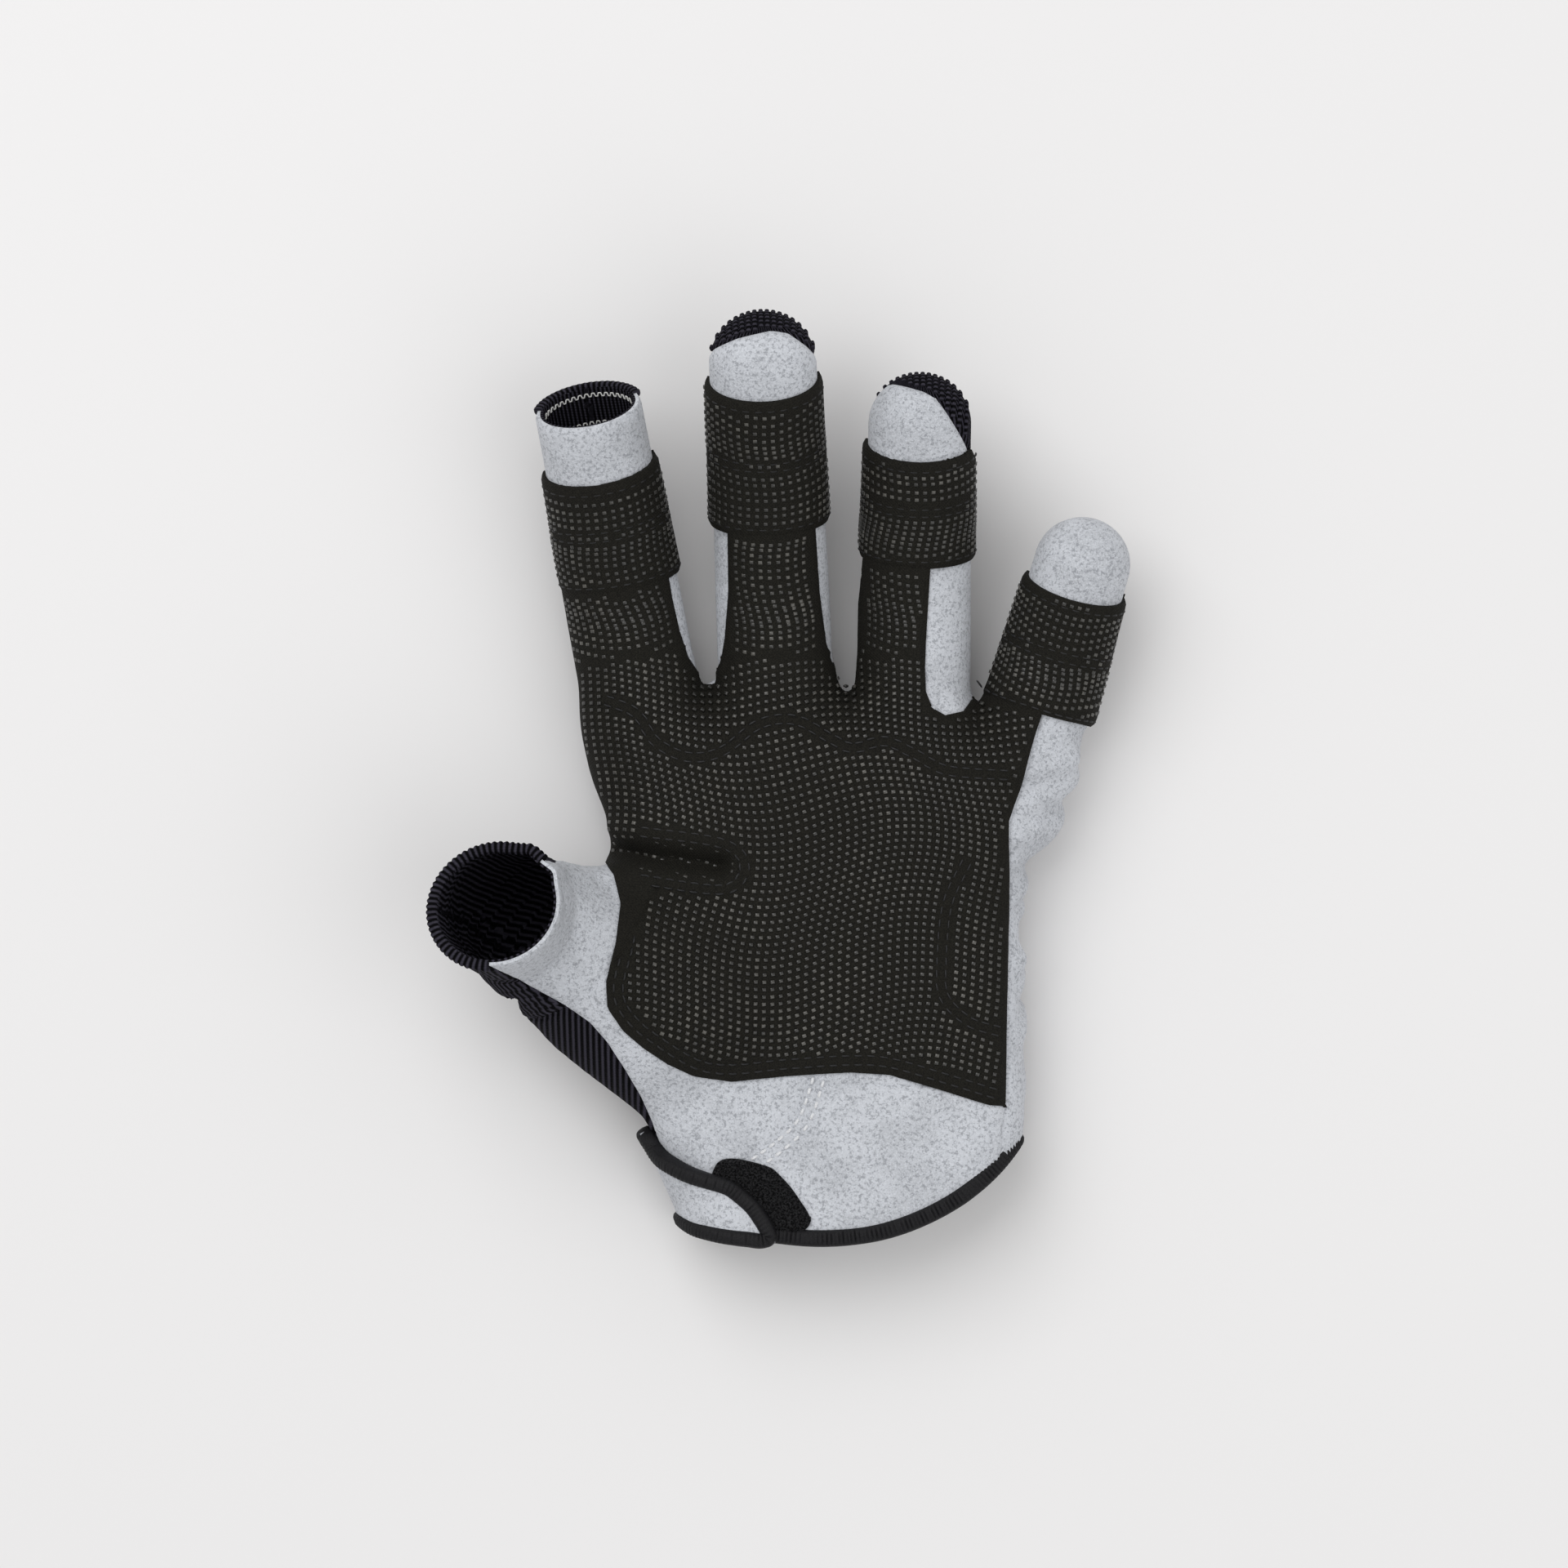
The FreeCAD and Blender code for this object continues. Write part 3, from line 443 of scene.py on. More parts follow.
@dataclass
class Shell:
    """Triangle surface in millimetres."""

    points: np.ndarray
    faces: np.ndarray

    def split(self, rule: Field) -> "Shell":
        """Cut the triangles along the zero line of a rule.

        Args:
            rule: gives a signed number at each point.

        Returns:
            Surface with edges on the zero line.
        """
        values = rule(self.points)
        values[np.abs(values) < SNAP] = 0.0
        side = np.sign(values)[self.faces]
        crossed = (side.min(1) < 0) & (side.max(1) > 0)
        plain, hit = self.faces[~crossed], self.faces[crossed]
        if not len(hit):
            return self
        signs = np.sign(values)[hit]
        alone = np.where((signs == 0).any(1), np.argmax(signs == 0, axis=1),
                         np.argmax(signs == -np.sign(signs.sum(1))[:, None], axis=1))
        turned = hit[np.arange(len(hit))[:, None], (alone[:, None] + np.arange(3)) % 3]
        through = (np.sign(values)[turned[:, 0]] == 0)
        points = [self.points]
        made: dict = {}

        def midpoint(a: int, b: int) -> int:
            """Index of the new point on an edge."""
            key = (min(a, b), max(a, b))
            if key not in made:
                share = values[a] / (values[a] - values[b])
                made[key] = len(self.points) + len(made)
                points.append((self.points[a] + (self.points[b] - self.points[a]) * share)[None])
            return made[key]

        fresh = []
        for (a, b, c), on_corner in zip(turned, through):
            if on_corner:
                m = midpoint(b, c)
                fresh += [(a, b, m), (a, m, c)]
            else:
                m, n = midpoint(a, b), midpoint(a, c)
                fresh += [(a, m, n), (m, b, c), (m, c, n)]
        return Shell(np.vstack(points), np.vstack([plain, np.array(fresh, int)]))

    def keep(self, rule: Field) -> "Shell":
        """Triangles whose middle has a positive value."""
        return self.select(rule(self.points[self.faces].mean(1)) > 0)

    def select(self, chosen: np.ndarray) -> "Shell":
        """Chosen triangles with only the points that they use."""
        faces = self.faces[chosen]
        used, flat = np.unique(faces, return_inverse=True)
        return Shell(self.points[used], flat.reshape(-1, 3))

    def border(self) -> np.ndarray:
        """Edges with one triangle, in that triangle's order."""
        edges = np.vstack([self.faces[:, [0, 1]], self.faces[:, [1, 2]], self.faces[:, [2, 0]]])
        ordered = np.sort(edges, axis=1)
        _, index, count = np.unique(ordered, axis=0, return_index=True, return_counts=True)
        return edges[index[count == 1]]

    def loops(self) -> list:
        """Closed border lines, each as an array of ordered points."""
        following = dict(self.border().tolist())
        found = []
        while following:
            start, at = following.popitem()
            line = [start]
            while at != start and at in following:
                line.append(at)
                at = following.pop(at)
            found.append(self.points[line])
        return found

    def thicken(self, normals: np.ndarray, outer: np.ndarray, inner: np.ndarray) -> "Shell":
        """Closed solid between two offsets of the surface.

        Args:
            normals: outward direction at each point.
            outer: offset of the outer face at each point.
            inner: offset of the inner face at each point.

        Returns:
            The closed surface.
        """
        count = len(self.points)
        points = np.vstack([self.points + normals * offset[:, None] for offset in (outer, inner)])
        a, b = self.border().T
        rim = np.vstack([np.column_stack(row) for row in ((b, a, a + count), (b, a + count, b + count))])
        return Shell(points, np.vstack([self.faces, self.faces[:, ::-1] + count, rim]))


@dataclass
class Piece:
    """A finished mesh on its way into the scene."""

    name: str
    points: np.ndarray
    faces: object
    finish: Finish
    rib: np.ndarray | None = None

    def build(self) -> bpy.types.Object:
        """Make the object with its stored coordinates and finish."""
        mesh = bpy.data.meshes.new(self.name)
        self.points[:, 2] = np.maximum(self.points[:, 2], TABLE_CLEARANCE)
        faces = self.faces.tolist() if isinstance(self.faces, np.ndarray) else self.faces
        mesh.from_pydata((self.points * MM).tolist(), [], faces)
        mesh.validate()
        stored = mesh.attributes.new("rest", "FLOAT_VECTOR", "POINT")
        stored.data.foreach_set("vector", self.points.astype(np.float32).ravel())
        ribs = mesh.attributes.new("rib", "FLOAT", "POINT")
        rib = self.points[:, 0] if self.rib is None else self.rib
        ribs.data.foreach_set("value", rib.astype(np.float32))
        mesh.materials.append(self.finish.material())
        mesh.polygons.foreach_set("use_smooth", [True] * len(mesh.polygons))
        mesh.set_sharp_from_angle(angle=SHARP_ANGLE)
        item = bpy.data.objects.new(self.name, mesh)
        bpy.context.collection.objects.link(item)
        LOG.info("%s: %d points", self.name, len(self.points))
        return item


def attach(item: bpy.types.Object, body: str, *nodes: str) -> None:
    """Let a piece ride on a body, in place of the nodes that it shows."""
    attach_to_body(item, body)
    if nodes:
        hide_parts(*nodes)


# ---------------------------------------------------------------- the form under the cloth


@dataclass
class Tube:
    """A finger or thumb: a curved centre line with a radius at each point."""

    name: str
    body: str
    hinge: np.ndarray
    across: np.ndarray
    path: np.ndarray
    radii: np.ndarray
    flatness: float
    open_end: bool
    cut_station: float

    @property
    def lead(self) -> np.ndarray:
        """Direction in which the tube ends."""
        return unit(self.path[-1] - self.path[-2])

    @property
    def end_station(self) -> float:
        """Station of the tube's last point."""
        return self.station_of(self.path[-1])

    def station_of(self, point: np.ndarray) -> float:
        """Station of one point."""
        return self.coordinates(point[None])[1][0]

    def frames(self) -> tuple:
        """Start points, directions, lengths and walked stations of the centre line's stretches."""
        steps = np.diff(self.path, axis=0)
        lengths = np.linalg.norm(steps, axis=1)
        return self.path[:-1], steps / lengths[:, None], lengths, np.concatenate([[0.0], np.cumsum(lengths)])

    def coordinates(self, points: np.ndarray) -> tuple:
        """Distance from the skin, station, side offset and palm-ward offset of each point."""
        starts, leads, lengths, walked = self.frames()
        best = np.full(len(points), np.inf)
        station, side, lift = (np.zeros(len(points)) for _ in range(3))
        for i, (start, lead, length) in enumerate(zip(starts, leads, lengths)):
            rel = points - start
            along = rel @ lead
            low = -FAR_BACK if i == 0 else 0.0
            held = np.clip(along, 0.0, length)
            radius = self.radii[i] + (self.radii[i + 1] - self.radii[i]) * held / length
            s, n = rel @ self.across, rel @ np.cross(self.across, lead)
            over = along - held
            d = np.sqrt(s * s + (n * self.flatness) ** 2 + over * over) - radius
            better = d < best
            best = np.where(better, d, best)
            high = None if i == len(lengths) - 1 else length
            run = walked[i] + np.clip(along, low, high)
            changes = ((run, station), (s, side), (n, lift))
            station, side, lift = (np.where(better, new, old) for new, old in changes)
        return best, station, side, lift

    def distance(self, points: np.ndarray) -> np.ndarray:
        """Distance from the tube's skin."""
        return self.coordinates(points)[0]

    def frame_at(self, station: float) -> tuple:
        """Centre, direction, upward direction and radius at a station."""
        starts, leads, lengths, walked = self.frames()
        i = int(np.clip(np.searchsorted(walked, station, side="right") - 1, 0, len(lengths) - 1))
        share = (station - walked[i]) / lengths[i]
        centre = starts[i] + leads[i] * (station - walked[i])
        radius = self.radii[i] + (self.radii[i + 1] - self.radii[i]) * min(max(share, 0.0), 1.0)
        return centre, leads[i], np.cross(self.across, leads[i]), radius


class HandForm:
    """The smooth form that every panel lies on."""

    height = 27.6
    corner = 11.8
    finger_flatness = 1.14
    finger_height = 13.2
    finger_step = 4.0
    root_length = 20.0
    lead_in = 16.0
    palm_blend = 12.0
    finger_blend = 7.0
    thumb_blend = 11.0
    floor_blend = 3.0
    crown = (15.0, 26.0)
    index_mouth_reach = 26.0
    thumb_mouth_reach = 24.0
    slope_step = 0.15
    stations = ((-92.0, 25.0, 44.0), (-75.0, 30.5, 46.0), (-62.0, 36.5, 48.0), (-55.0, 40.5, 48.6),
                (-50.0, 45.0, 48.8), (-44.0, 51.0, 48.8), (-38.0, 56.0, 48.6), (-30.0, 59.5, 48.4),
                (-22.0, 59.5, 48.1), (-12.0, 52.0, 47.9), (-4.0, 47.5, 47.8),
                (8.0, 47.0, 49.5), (25.0, 49.5, 56.0), (40.0, 53.5, 61.0), (56.0, 57.5, 62.5))
    front = 41.5
    cuff_centre = (2.0, -27.0)
    cuff_radius = 57.0
    cuff_slack = 0.8
    ahead_of_cuff = 20.0
    clear_of_mouth = 10.0
    neighbour_margin = 1.0
    skin_reach = 5.0
    finger_cut = 23.5
    thumb_cut = 30.0

    def __init__(self) -> None:
        """Read the joints of the frame and lay out the tubes."""
        self.joints = {joint["name"]: joint for joint in frame["joints"]}
        self.fingers = [self.finger(*row) for row in (
            ("index", 65.0, 12.4, 13.3, True), ("middle", 86.0, 12.4, 13.4, False),
            ("ring", 72.0, 11.9, 12.8, False), ("little", 54.0, 11.2, 12.1, False))]
        self.thumb = self.make_thumb()
        self.tubes = [*self.fingers, self.thumb]
        self.uncut = self.make_surface()
        self.surface = self.uncut
        mouths = ((self.fingers[0], self.index_mouth_reach), (self.thumb, self.thumb_mouth_reach))
        rules = [self.inside_cuff, *(self.before_mouth(tube, reach) for tube, reach in mouths)]
        for rule in rules:
            self.surface = self.surface.split(rule).keep(rule)

    def finger(self, name: str, reach: float, tip: float, root: float, open_end: bool) -> Tube:
        """Lay out one finger from its joint.

        Args:
            name: finger's name.
            reach: length in plan from root to end.
            tip: radius at the end.
            root: radius at the root.
            open_end: whether the finger is cut open.

        Returns:
            The finger's tube.
        """
        joint = self.joints[f"{name}_curl"]
        hinge = np.array(joint["pos_m"]) / MM
        across = unit(np.array(joint["axis"], float))
        ahead = np.array([-across[1], across[0], 0.0])
        point = hinge - ahead * (self.root_length + self.lead_in)
        point[2] = self.finger_height
        path, radii, walked = [point], [root], -self.lead_in
        end = reach if open_end else reach - tip
        while walked < end:
            gone = np.array(walked)
            bend = 4.0 + 14.0 * smooth_step(6.0, 32.0, gone) + 13.0 * smooth_step(28.0, 66.0, gone)
            rise = math.tan(math.radians(float(bend)))
            hop = min(self.finger_step, end - walked)
            point = point + (ahead + np.array([0.0, 0.0, rise])) * hop
            walked += hop
            path.append(point)
            share = float(smooth_step(10.0, end, np.array(walked)))
            radii.append(root + (tip - root) * share)
        return Tube(name, f"{name}_finger", hinge, across, np.array(path), np.array(radii),
                    self.finger_flatness, open_end, self.finger_cut)

    def make_thumb(self) -> Tube:
        """Lay out the thumb from the thenar mound to its mouth."""
        joint = self.joints["thumb_fold"]
        hinge = np.array(joint["pos_m"]) / MM
        across = unit(np.array(joint["axis"], float))
        low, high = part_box("thumb_hem")
        mouth = (np.array(low) + np.array(high)) / 2 / MM
        path = [hinge + (34.0, -20.0, -10.5), hinge + (17.0, -9.5, -7.0), hinge + (3.0, -1.5, 0.5),
                hinge + (-6.5, 4.2, 11.0), mouth + (0.6, -0.6, 1.0), mouth + (-0.8, 2.2, 8.5)]
        radii = [15.0, 17.0, 16.4, 15.0, 14.6, 15.0]
        dense = curve_through(np.column_stack([path, radii]), 3.5)
        return Tube("thumb", "thumb", hinge, across, dense[:, :3], dense[:, 3], 1.0, True, self.thumb_cut)

    def widths(self, y: np.ndarray) -> tuple:
        """Half widths towards the thumb and towards the little finger."""
        table = np.array(self.stations)
        return np.interp(y, table[:, 0], table[:, 1]), np.interp(y, table[:, 0], table[:, 2])

    def palm(self, points: np.ndarray) -> np.ndarray:
        """Distance from the flat body of the hand."""
        x, y, z = points.T
        thumb_side, little_side = self.widths(y)
        middle, half = (little_side - thumb_side) / 2, (little_side + thumb_side) / 2
        tall = self.height / 2
        qx = np.abs(x - middle) - (half - self.corner)
        qz = np.abs(z - tall) - (tall - self.corner)
        outside, inside = np.hypot(np.maximum(qx, 0), np.maximum(qz, 0)), np.minimum(np.maximum(qx, qz), 0)
        body = outside + inside - self.corner
        front = y - (self.front - 8.5 * smooth_step(24.0, 50.0, x))
        rear = -96.0 - y
        return np.maximum(-soft_min(-body, -front, self.palm_blend), rear)

    def distance(self, points: np.ndarray) -> np.ndarray:
        """Distance from the whole form."""
        body = self.palm(points)
        for tube in self.fingers:
            body = soft_min(body, tube.distance(points), self.finger_blend)
        body = soft_min(body, self.thumb.distance(points), self.thumb_blend)
        x, y, z = points.T
        top = smooth_step(*self.crown, z)
        hollow = 1.6 * np.exp(-((x - 4) ** 2 + (y + 6) ** 2) / 900.0) * top
        mound = 1.8 * np.exp(-((x + 24) ** 2 / 500.0 + (y + 28) ** 2 / 500.0)) * top
        heel = 1.4 * np.exp(-((x - 28) ** 2 / 400.0 + (y + 28) ** 2 / 700.0)) * top
        shaped = body + hollow - mound - heel + self.creases(points)
        return -soft_min(-shaped, z, self.floor_blend)

    def creases(self, points: np.ndarray) -> np.ndarray:
        """Slack folds of the cloth, as a change of distance."""
        x, y, z = points.T
        side = smooth_step(38.0, 50.0, x) * smooth_step(-60.0, -20.0, y) * (1 - smooth_step(28.0, 44.0, y))
        waves = np.sin(0.42 * y + 0.9 * np.sin(0.13 * y + 0.3 * z)) * 0.95 + 0.4 * np.sin(0.8 * y + 0.35 * z)
        change = side * waves * smooth_step(2.0, 9.0, z)
        wrist = smooth_step(-40.0, -54.0, y) * smooth_step(10.0, 22.0, z)
        ripple = np.sin(0.27 * x + 0.16 * y + np.sin(0.09 * x))
        change += wrist * 0.45 * ripple * (1 - smooth_step(30.0, 46.0, np.abs(x)))
        palm = smooth_step(14.0, 22.0, z)
        slot_x = np.clip(x, -60.0, -22.5)
        slot = np.hypot(x - slot_x, y - (4.0 - 0.13 * (slot_x + 22.5)))
        change += palm * (3.4 * np.exp(-(slot / 2.6) ** 2) - 1.0 * np.exp(-((slot - 5.2) / 2.4) ** 2))
        for web_x, web_y in WEB_BOTTOMS:
            near = np.exp(-((x - web_x) ** 2 + (y - web_y) ** 2) / 26.0)
            change += near * 0.35 * np.sin(0.9 * (x - web_x) + 0.4 * y + 0.35 * z)
        return change

    def gradient(self, points: np.ndarray) -> np.ndarray:
        """Outward direction, not of unit length."""
        steps = np.eye(3) * self.slope_step
        rows = [self.distance(points + step) - self.distance(points - step) for step in steps]
        return np.column_stack(rows) / (2 * self.slope_step)

    def normals(self, points: np.ndarray) -> np.ndarray:
        """Outward direction of length one."""
        return unit(self.gradient(points))

    def settle(self, points: np.ndarray, offset: float = 0.0, rounds: int = 3) -> np.ndarray:
        """Move points on to the form's surface, or to an offset of it."""
        for _ in range(rounds):
            slope = self.gradient(points)
            miss = self.distance(points) - offset
            points = points - slope * (miss / np.maximum((slope**2).sum(1), 1e-6))[:, None]
        return points

    def drop(self, plan: np.ndarray, offset: float = 0.0, top: float = 46.0) -> np.ndarray:
        """Points of the palm side under plan points.

        Args:
            plan: x and y of each point.
            offset: distance above the surface.
            top: height where the search starts.

        Returns:
            Points on the surface.
        """
        points = np.column_stack([plan, np.full(len(plan), top)])
        for _ in range(40):
            gap = self.distance(points) - offset
            points[:, 2] -= np.clip(gap * 0.85, -3.0, 6.0)
        return points

    def make_surface(self) -> Shell:
        """Closed surface of the form, worked out on a grid and settled on to it."""
        cell = 1.15
        band, slab = 9.0, 24
        low, high = np.array([-94.0, -92.0, -3.0]), np.array([80.0, 138.0, 68.0])
        counts = np.ceil((high - low) / cell).astype(int)
        values = np.zeros(counts, np.float32)
        ys, zs = (low[i] + np.arange(counts[i]) * cell for i in (1, 2))
        gy, gz = (grid.ravel() for grid in np.meshgrid(ys, zs, indexing="ij"))
        for start in range(0, counts[0], slab):
            xs = low[0] + np.arange(start, min(start + slab, counts[0])) * cell
            points = np.column_stack([np.repeat(xs, len(gy)), np.tile(gy, len(xs)), np.tile(gz, len(xs))])
            values[start:start + len(xs)] = self.distance(points).reshape(len(xs), counts[1], counts[2])
        grid = openvdb.FloatGrid(background=float(values.max()))
        grid.copyFromArray(np.clip(values, -band, band))
        points, quads = grid.convertToQuads(isovalue=0.0)
        points = self.settle(low + np.asarray(points, float) * cell)
        quads = np.asarray(quads, int)
        faces = np.vstack([quads[:, [0, 1, 2]], quads[:, [0, 2, 3]]])
        shell = Shell(points, faces)
        middle = shell.points[shell.faces]
        facing = np.cross(middle[:, 1] - middle[:, 0], middle[:, 2] - middle[:, 0])
        if (facing * self.gradient(middle.mean(1))).sum() < 0:
            shell.faces = shell.faces[:, ::-1]
        return shell

    def owned(self, tube: Tube) -> Field:
        """Rule that is positive on one finger or on the thumb, beyond its cut station."""
        others = [other for other in self.tubes if other is not tube]

        def rule(points: np.ndarray) -> np.ndarray:
            """Signed number at each point."""
            own, station, _, _ = tube.coordinates(points)
            nearest = np.min([other.distance(points) for other in others], axis=0)
            beyond = np.minimum(station - tube.cut_station, nearest - own + self.neighbour_margin)
            return np.minimum(beyond, self.skin_reach - own)

        return rule

    def inside_cuff(self, points: np.ndarray) -> np.ndarray:
        """Positive on the hand's side of the cuff's edge."""
        across, ahead = (points[:, :2] - self.cuff_centre).T
        reach = np.hypot(np.where(across < 0, across * self.cuff_slack, across), ahead)
        return np.where(points[:, 1] > self.cuff_centre[1], self.ahead_of_cuff, self.cuff_radius - reach)

    def before_mouth(self, tube: Tube, reach: float) -> Field:
        """Rule that is positive below a tube's open end, within a reach of it."""

        def rule(points: np.ndarray) -> np.ndarray:
            """Signed number at each point."""
            rel = points - tube.path[-1]
            near = np.linalg.norm(rel, axis=1) < reach
            return np.where(near, -(rel @ tube.lead), self.clear_of_mouth)

        return rule


# ---------------------------------------------------------------- laying cloth, stitches and tape


PATCH_OUTLINE = np.array([
    (-66, 82), (-62, 66), (-60, 48), (-57, 33), (-52, 18), (-51, 6.5), (-47.1, 1.7), (-45.4, -4.9),
    (-46.4, -13.9),
    (-48.6, -22.8), (-48.3, -28.7), (-44.7, -34), (-40.1, -38), (-34.5, -41.8), (-28.5, -44.7),
    (-19.6, -46.2),
    (-7.4, -45), (7.8, -44.1), (16.9, -44.7), (29.1, -48.3), (39.9, -51.7), (43.6, -52.0), (43.9, -30),
    (44.5, -3.8),
    (44.5, 14.4), (46.9, 20.9), (50.5, 33.3), (52.3, 39), (53, 46), (43, 58), (38.8, 48.5), (37.0, 43.6),
    (34.0, 39.6), (29.7, 38.6), (26.8, 40.3), (25.3, 44.1), (25.1, 50), (25.3, 55.8), (26.5, 78), (11.6, 80),
    (10.8, 67.4), (10.2, 58), (9.0, 53.2), (7.4, 50.8), (5.1, 49.9), (3.0, 51.4), (1.8, 55.8), (0.3, 67.4),
    (-0.8, 84), (-20.4, 85), (-20.2, 67.4), (-21.0, 57), (-21.9, 51.5), (-23.2, 48.9), (-25.1, 47.7),
    (-28.2, 49.0), (-30.4, 52.4), (-32.3, 58.4), (-34.0, 66), (-36.0, 78)], float)
SUEDE_OUTLINE = np.array([
    (-110, -6), (-85, -13), (-73.3, -19.4), (-66.1, -23.9), (-58.3, -28.3), (-52.4, -32.5), (-48.6, -37),
    (-44.7, -43.3), (-41.0, -50), (-38.0, -58), (-35.5, -66), (-31.0, -80), (-27.0, -100), (110, -100),
    (110, 160),
    (-110, 160)], float)
THENAR_LINE = np.array([(-92.0, -40.0), (-72.0, -23.5), (-64.6, -17.1), (-59.3, -9.7), (-54.3, -4.9),
                        (-45.8, -1.9),
                        (-30.0, 1.0), (10.0, 2.0)])
LITTLE_LINE = np.array([(-100.0, 40.0), (-75.0, 42.0), (-52.0, 44.2), (14.0, 45.0), (21.0, 47.4),
                        (33.0, 51.0),
                        (60.0, 56.0)])
PALM_STITCHES = (
    ((-48.3, 42), (-41.8, 39.1), (-37.4, 32.7), (-30, 29.1), (-22, 30.4), (-13.3, 36.7), (-4.8, 37.6),
     (3.4, 33.3),
     (8.4, 31.2), (15.8, 32.7), (23, 29.6), (30.2, 26), (43.3, 24.9)),
    ((34.4, 4), (30.2, -5.5), (28.9, -19.2), (29.6, -26.6), (35, -32.1), (41.6, -34.4)),
    ((-44.2, -1.5), (-42.6, -6), (-43.4, -14), (-45.6, -22.8), (-45.2, -27.6), (-42.2, -32), (-38, -35.6),
     (-28, -41.9), (-19.6, -43.3), (-7.4, -42.2), (7.8, -41.3), (17.2, -41.9), (29.6, -45.4), (40.6, -48.8)),
    ((-40, 11.6), (-22, 9.0), (-16.8, 4.0), (-21.5, -1.6), (-40, 0.6)),
)
MIDDLE_CAP = ((-27, 121.0), (-24, 122.8), (-18.4, 124.9), (-10.5, 126.7), (-6.5, 126.2), (-2.1, 123.3),
              (0, 121.5))
RING_CAP = ((10, 118.5), (15, 116.1), (20.3, 114.6), (24.7, 113.2), (27.7, 111.4), (29.8, 108.5),
            (34.4, 101.5),
            (37, 97.0))
FINGER_GAPS = ((-25.1, 49.0), (5.1, 51.5), (37.6, 46.4))
GAP_REACH = 3.0
CUT_EDGE = 0.3
STITCH_SPACING = 2.9
ROW_GAP = 1.05
RIB_RADIUS = 12.8
GRIP_HEIGHT = 0.95
PATCH_SEAT = 0.05
LOOP_SPACING = 0.27
MOUTH_SPACING = 0.3
PATCH_EDGE = {"edge": 0.4, "width": 0.9}
LINING_AND_SHADE = {"outer": -1.25, "inner": -1.8, "edge": 0.0}


def opposite(rule: Field) -> Field:
    """Rule with its sign turned."""
    return lambda points: -rule(points)


def on_patch(points: np.ndarray) -> np.ndarray:
    """Positive on the grip patch of the palm."""
    near = sum(np.exp(-((points[:, 0] - x) ** 2 + (points[:, 1] - y) ** 2) / 50.0) for x, y in WEB_BOTTOMS)
    height = points[:, 2] - 10.0 - 7.0 * near
    return np.minimum(polygon_distance(PATCH_OUTLINE, points[:, :2]), height)


def stacked(rows: Sequence[tuple]) -> list:
    """Rows of several arrays joined array by array."""
    return [np.vstack(part) for part in zip(*rows)]


def clear_of_gaps(points: np.ndarray) -> np.ndarray:
    """True away from the narrow gaps between the fingers."""
    return np.all([np.hypot(points[:, 0] - x, points[:, 1] - y) > GAP_REACH for x, y in FINGER_GAPS], axis=0)


def arc_position(tube: Tube, points: np.ndarray) -> np.ndarray:
    """Distance round a tube, measured along its skin."""
    _, _, side, lift = tube.coordinates(points)
    return np.arctan2(side, lift) * RIB_RADIUS


@dataclass
class Cloth:
    """Lays pieces of material on the form."""

    form: HandForm

    def lay(self, name: str, shell: Shell, finish: Finish, outer: float = 0.0, inner: float = -1.2,
            edge: float = 0.45, width: float = 1.1, joined: Sequence[Field] = (),
            tube: Tube | None = None) -> bpy.types.Object:
        """Give a cut surface its thickness, with edges that roll down.

        Args:
            name: piece's name.
            shell: cut surface on the form.
            finish: its finish.
            outer: height of the outer face above the form.
            inner: height of the inner face.
            edge: how far the outer face drops at a free edge.
            width: width of the rolled edge.
            joined: rules whose zero lines are not free edges.
            tube: finger that the ribs run along, if any.

        Returns:
            The built piece.
        """
        normals = self.form.normals(shell.points)
        rim = shell.points[np.unique(shell.border())]
        for rule in joined:
            rim = rim[np.abs(rule(rim)) > CUT_EDGE]
        reach = self.reach(rim, shell.points)
        tops = outer - edge * (1.0 - smooth_step(0.0, width, reach))
        solid = shell.thicken(normals, tops, np.full(len(tops), inner))
        ribs = shell.points[:, 0] if tube is None else arc_position(tube, shell.points)
        return Piece(name, solid.points, solid.faces, finish, np.concatenate([ribs, ribs])).build()

    def reach(self, rim: np.ndarray, points: np.ndarray) -> np.ndarray:
        """Distance from each point to the nearest rim point."""
        if not len(rim):
            return np.full(len(points), FAR)
        tree = KDTree(len(rim))
        for index, point in enumerate(rim):
            tree.insert(point, index)
        tree.balance()
        return np.array([tree.find(point)[2] for point in points])

    def seated(self, points: np.ndarray, offset: float) -> tuple:
        """Points moved to an offset of the form, and the outward directions there."""
        placed = self.form.settle(points, offset)
        return placed, self.form.normals(placed)


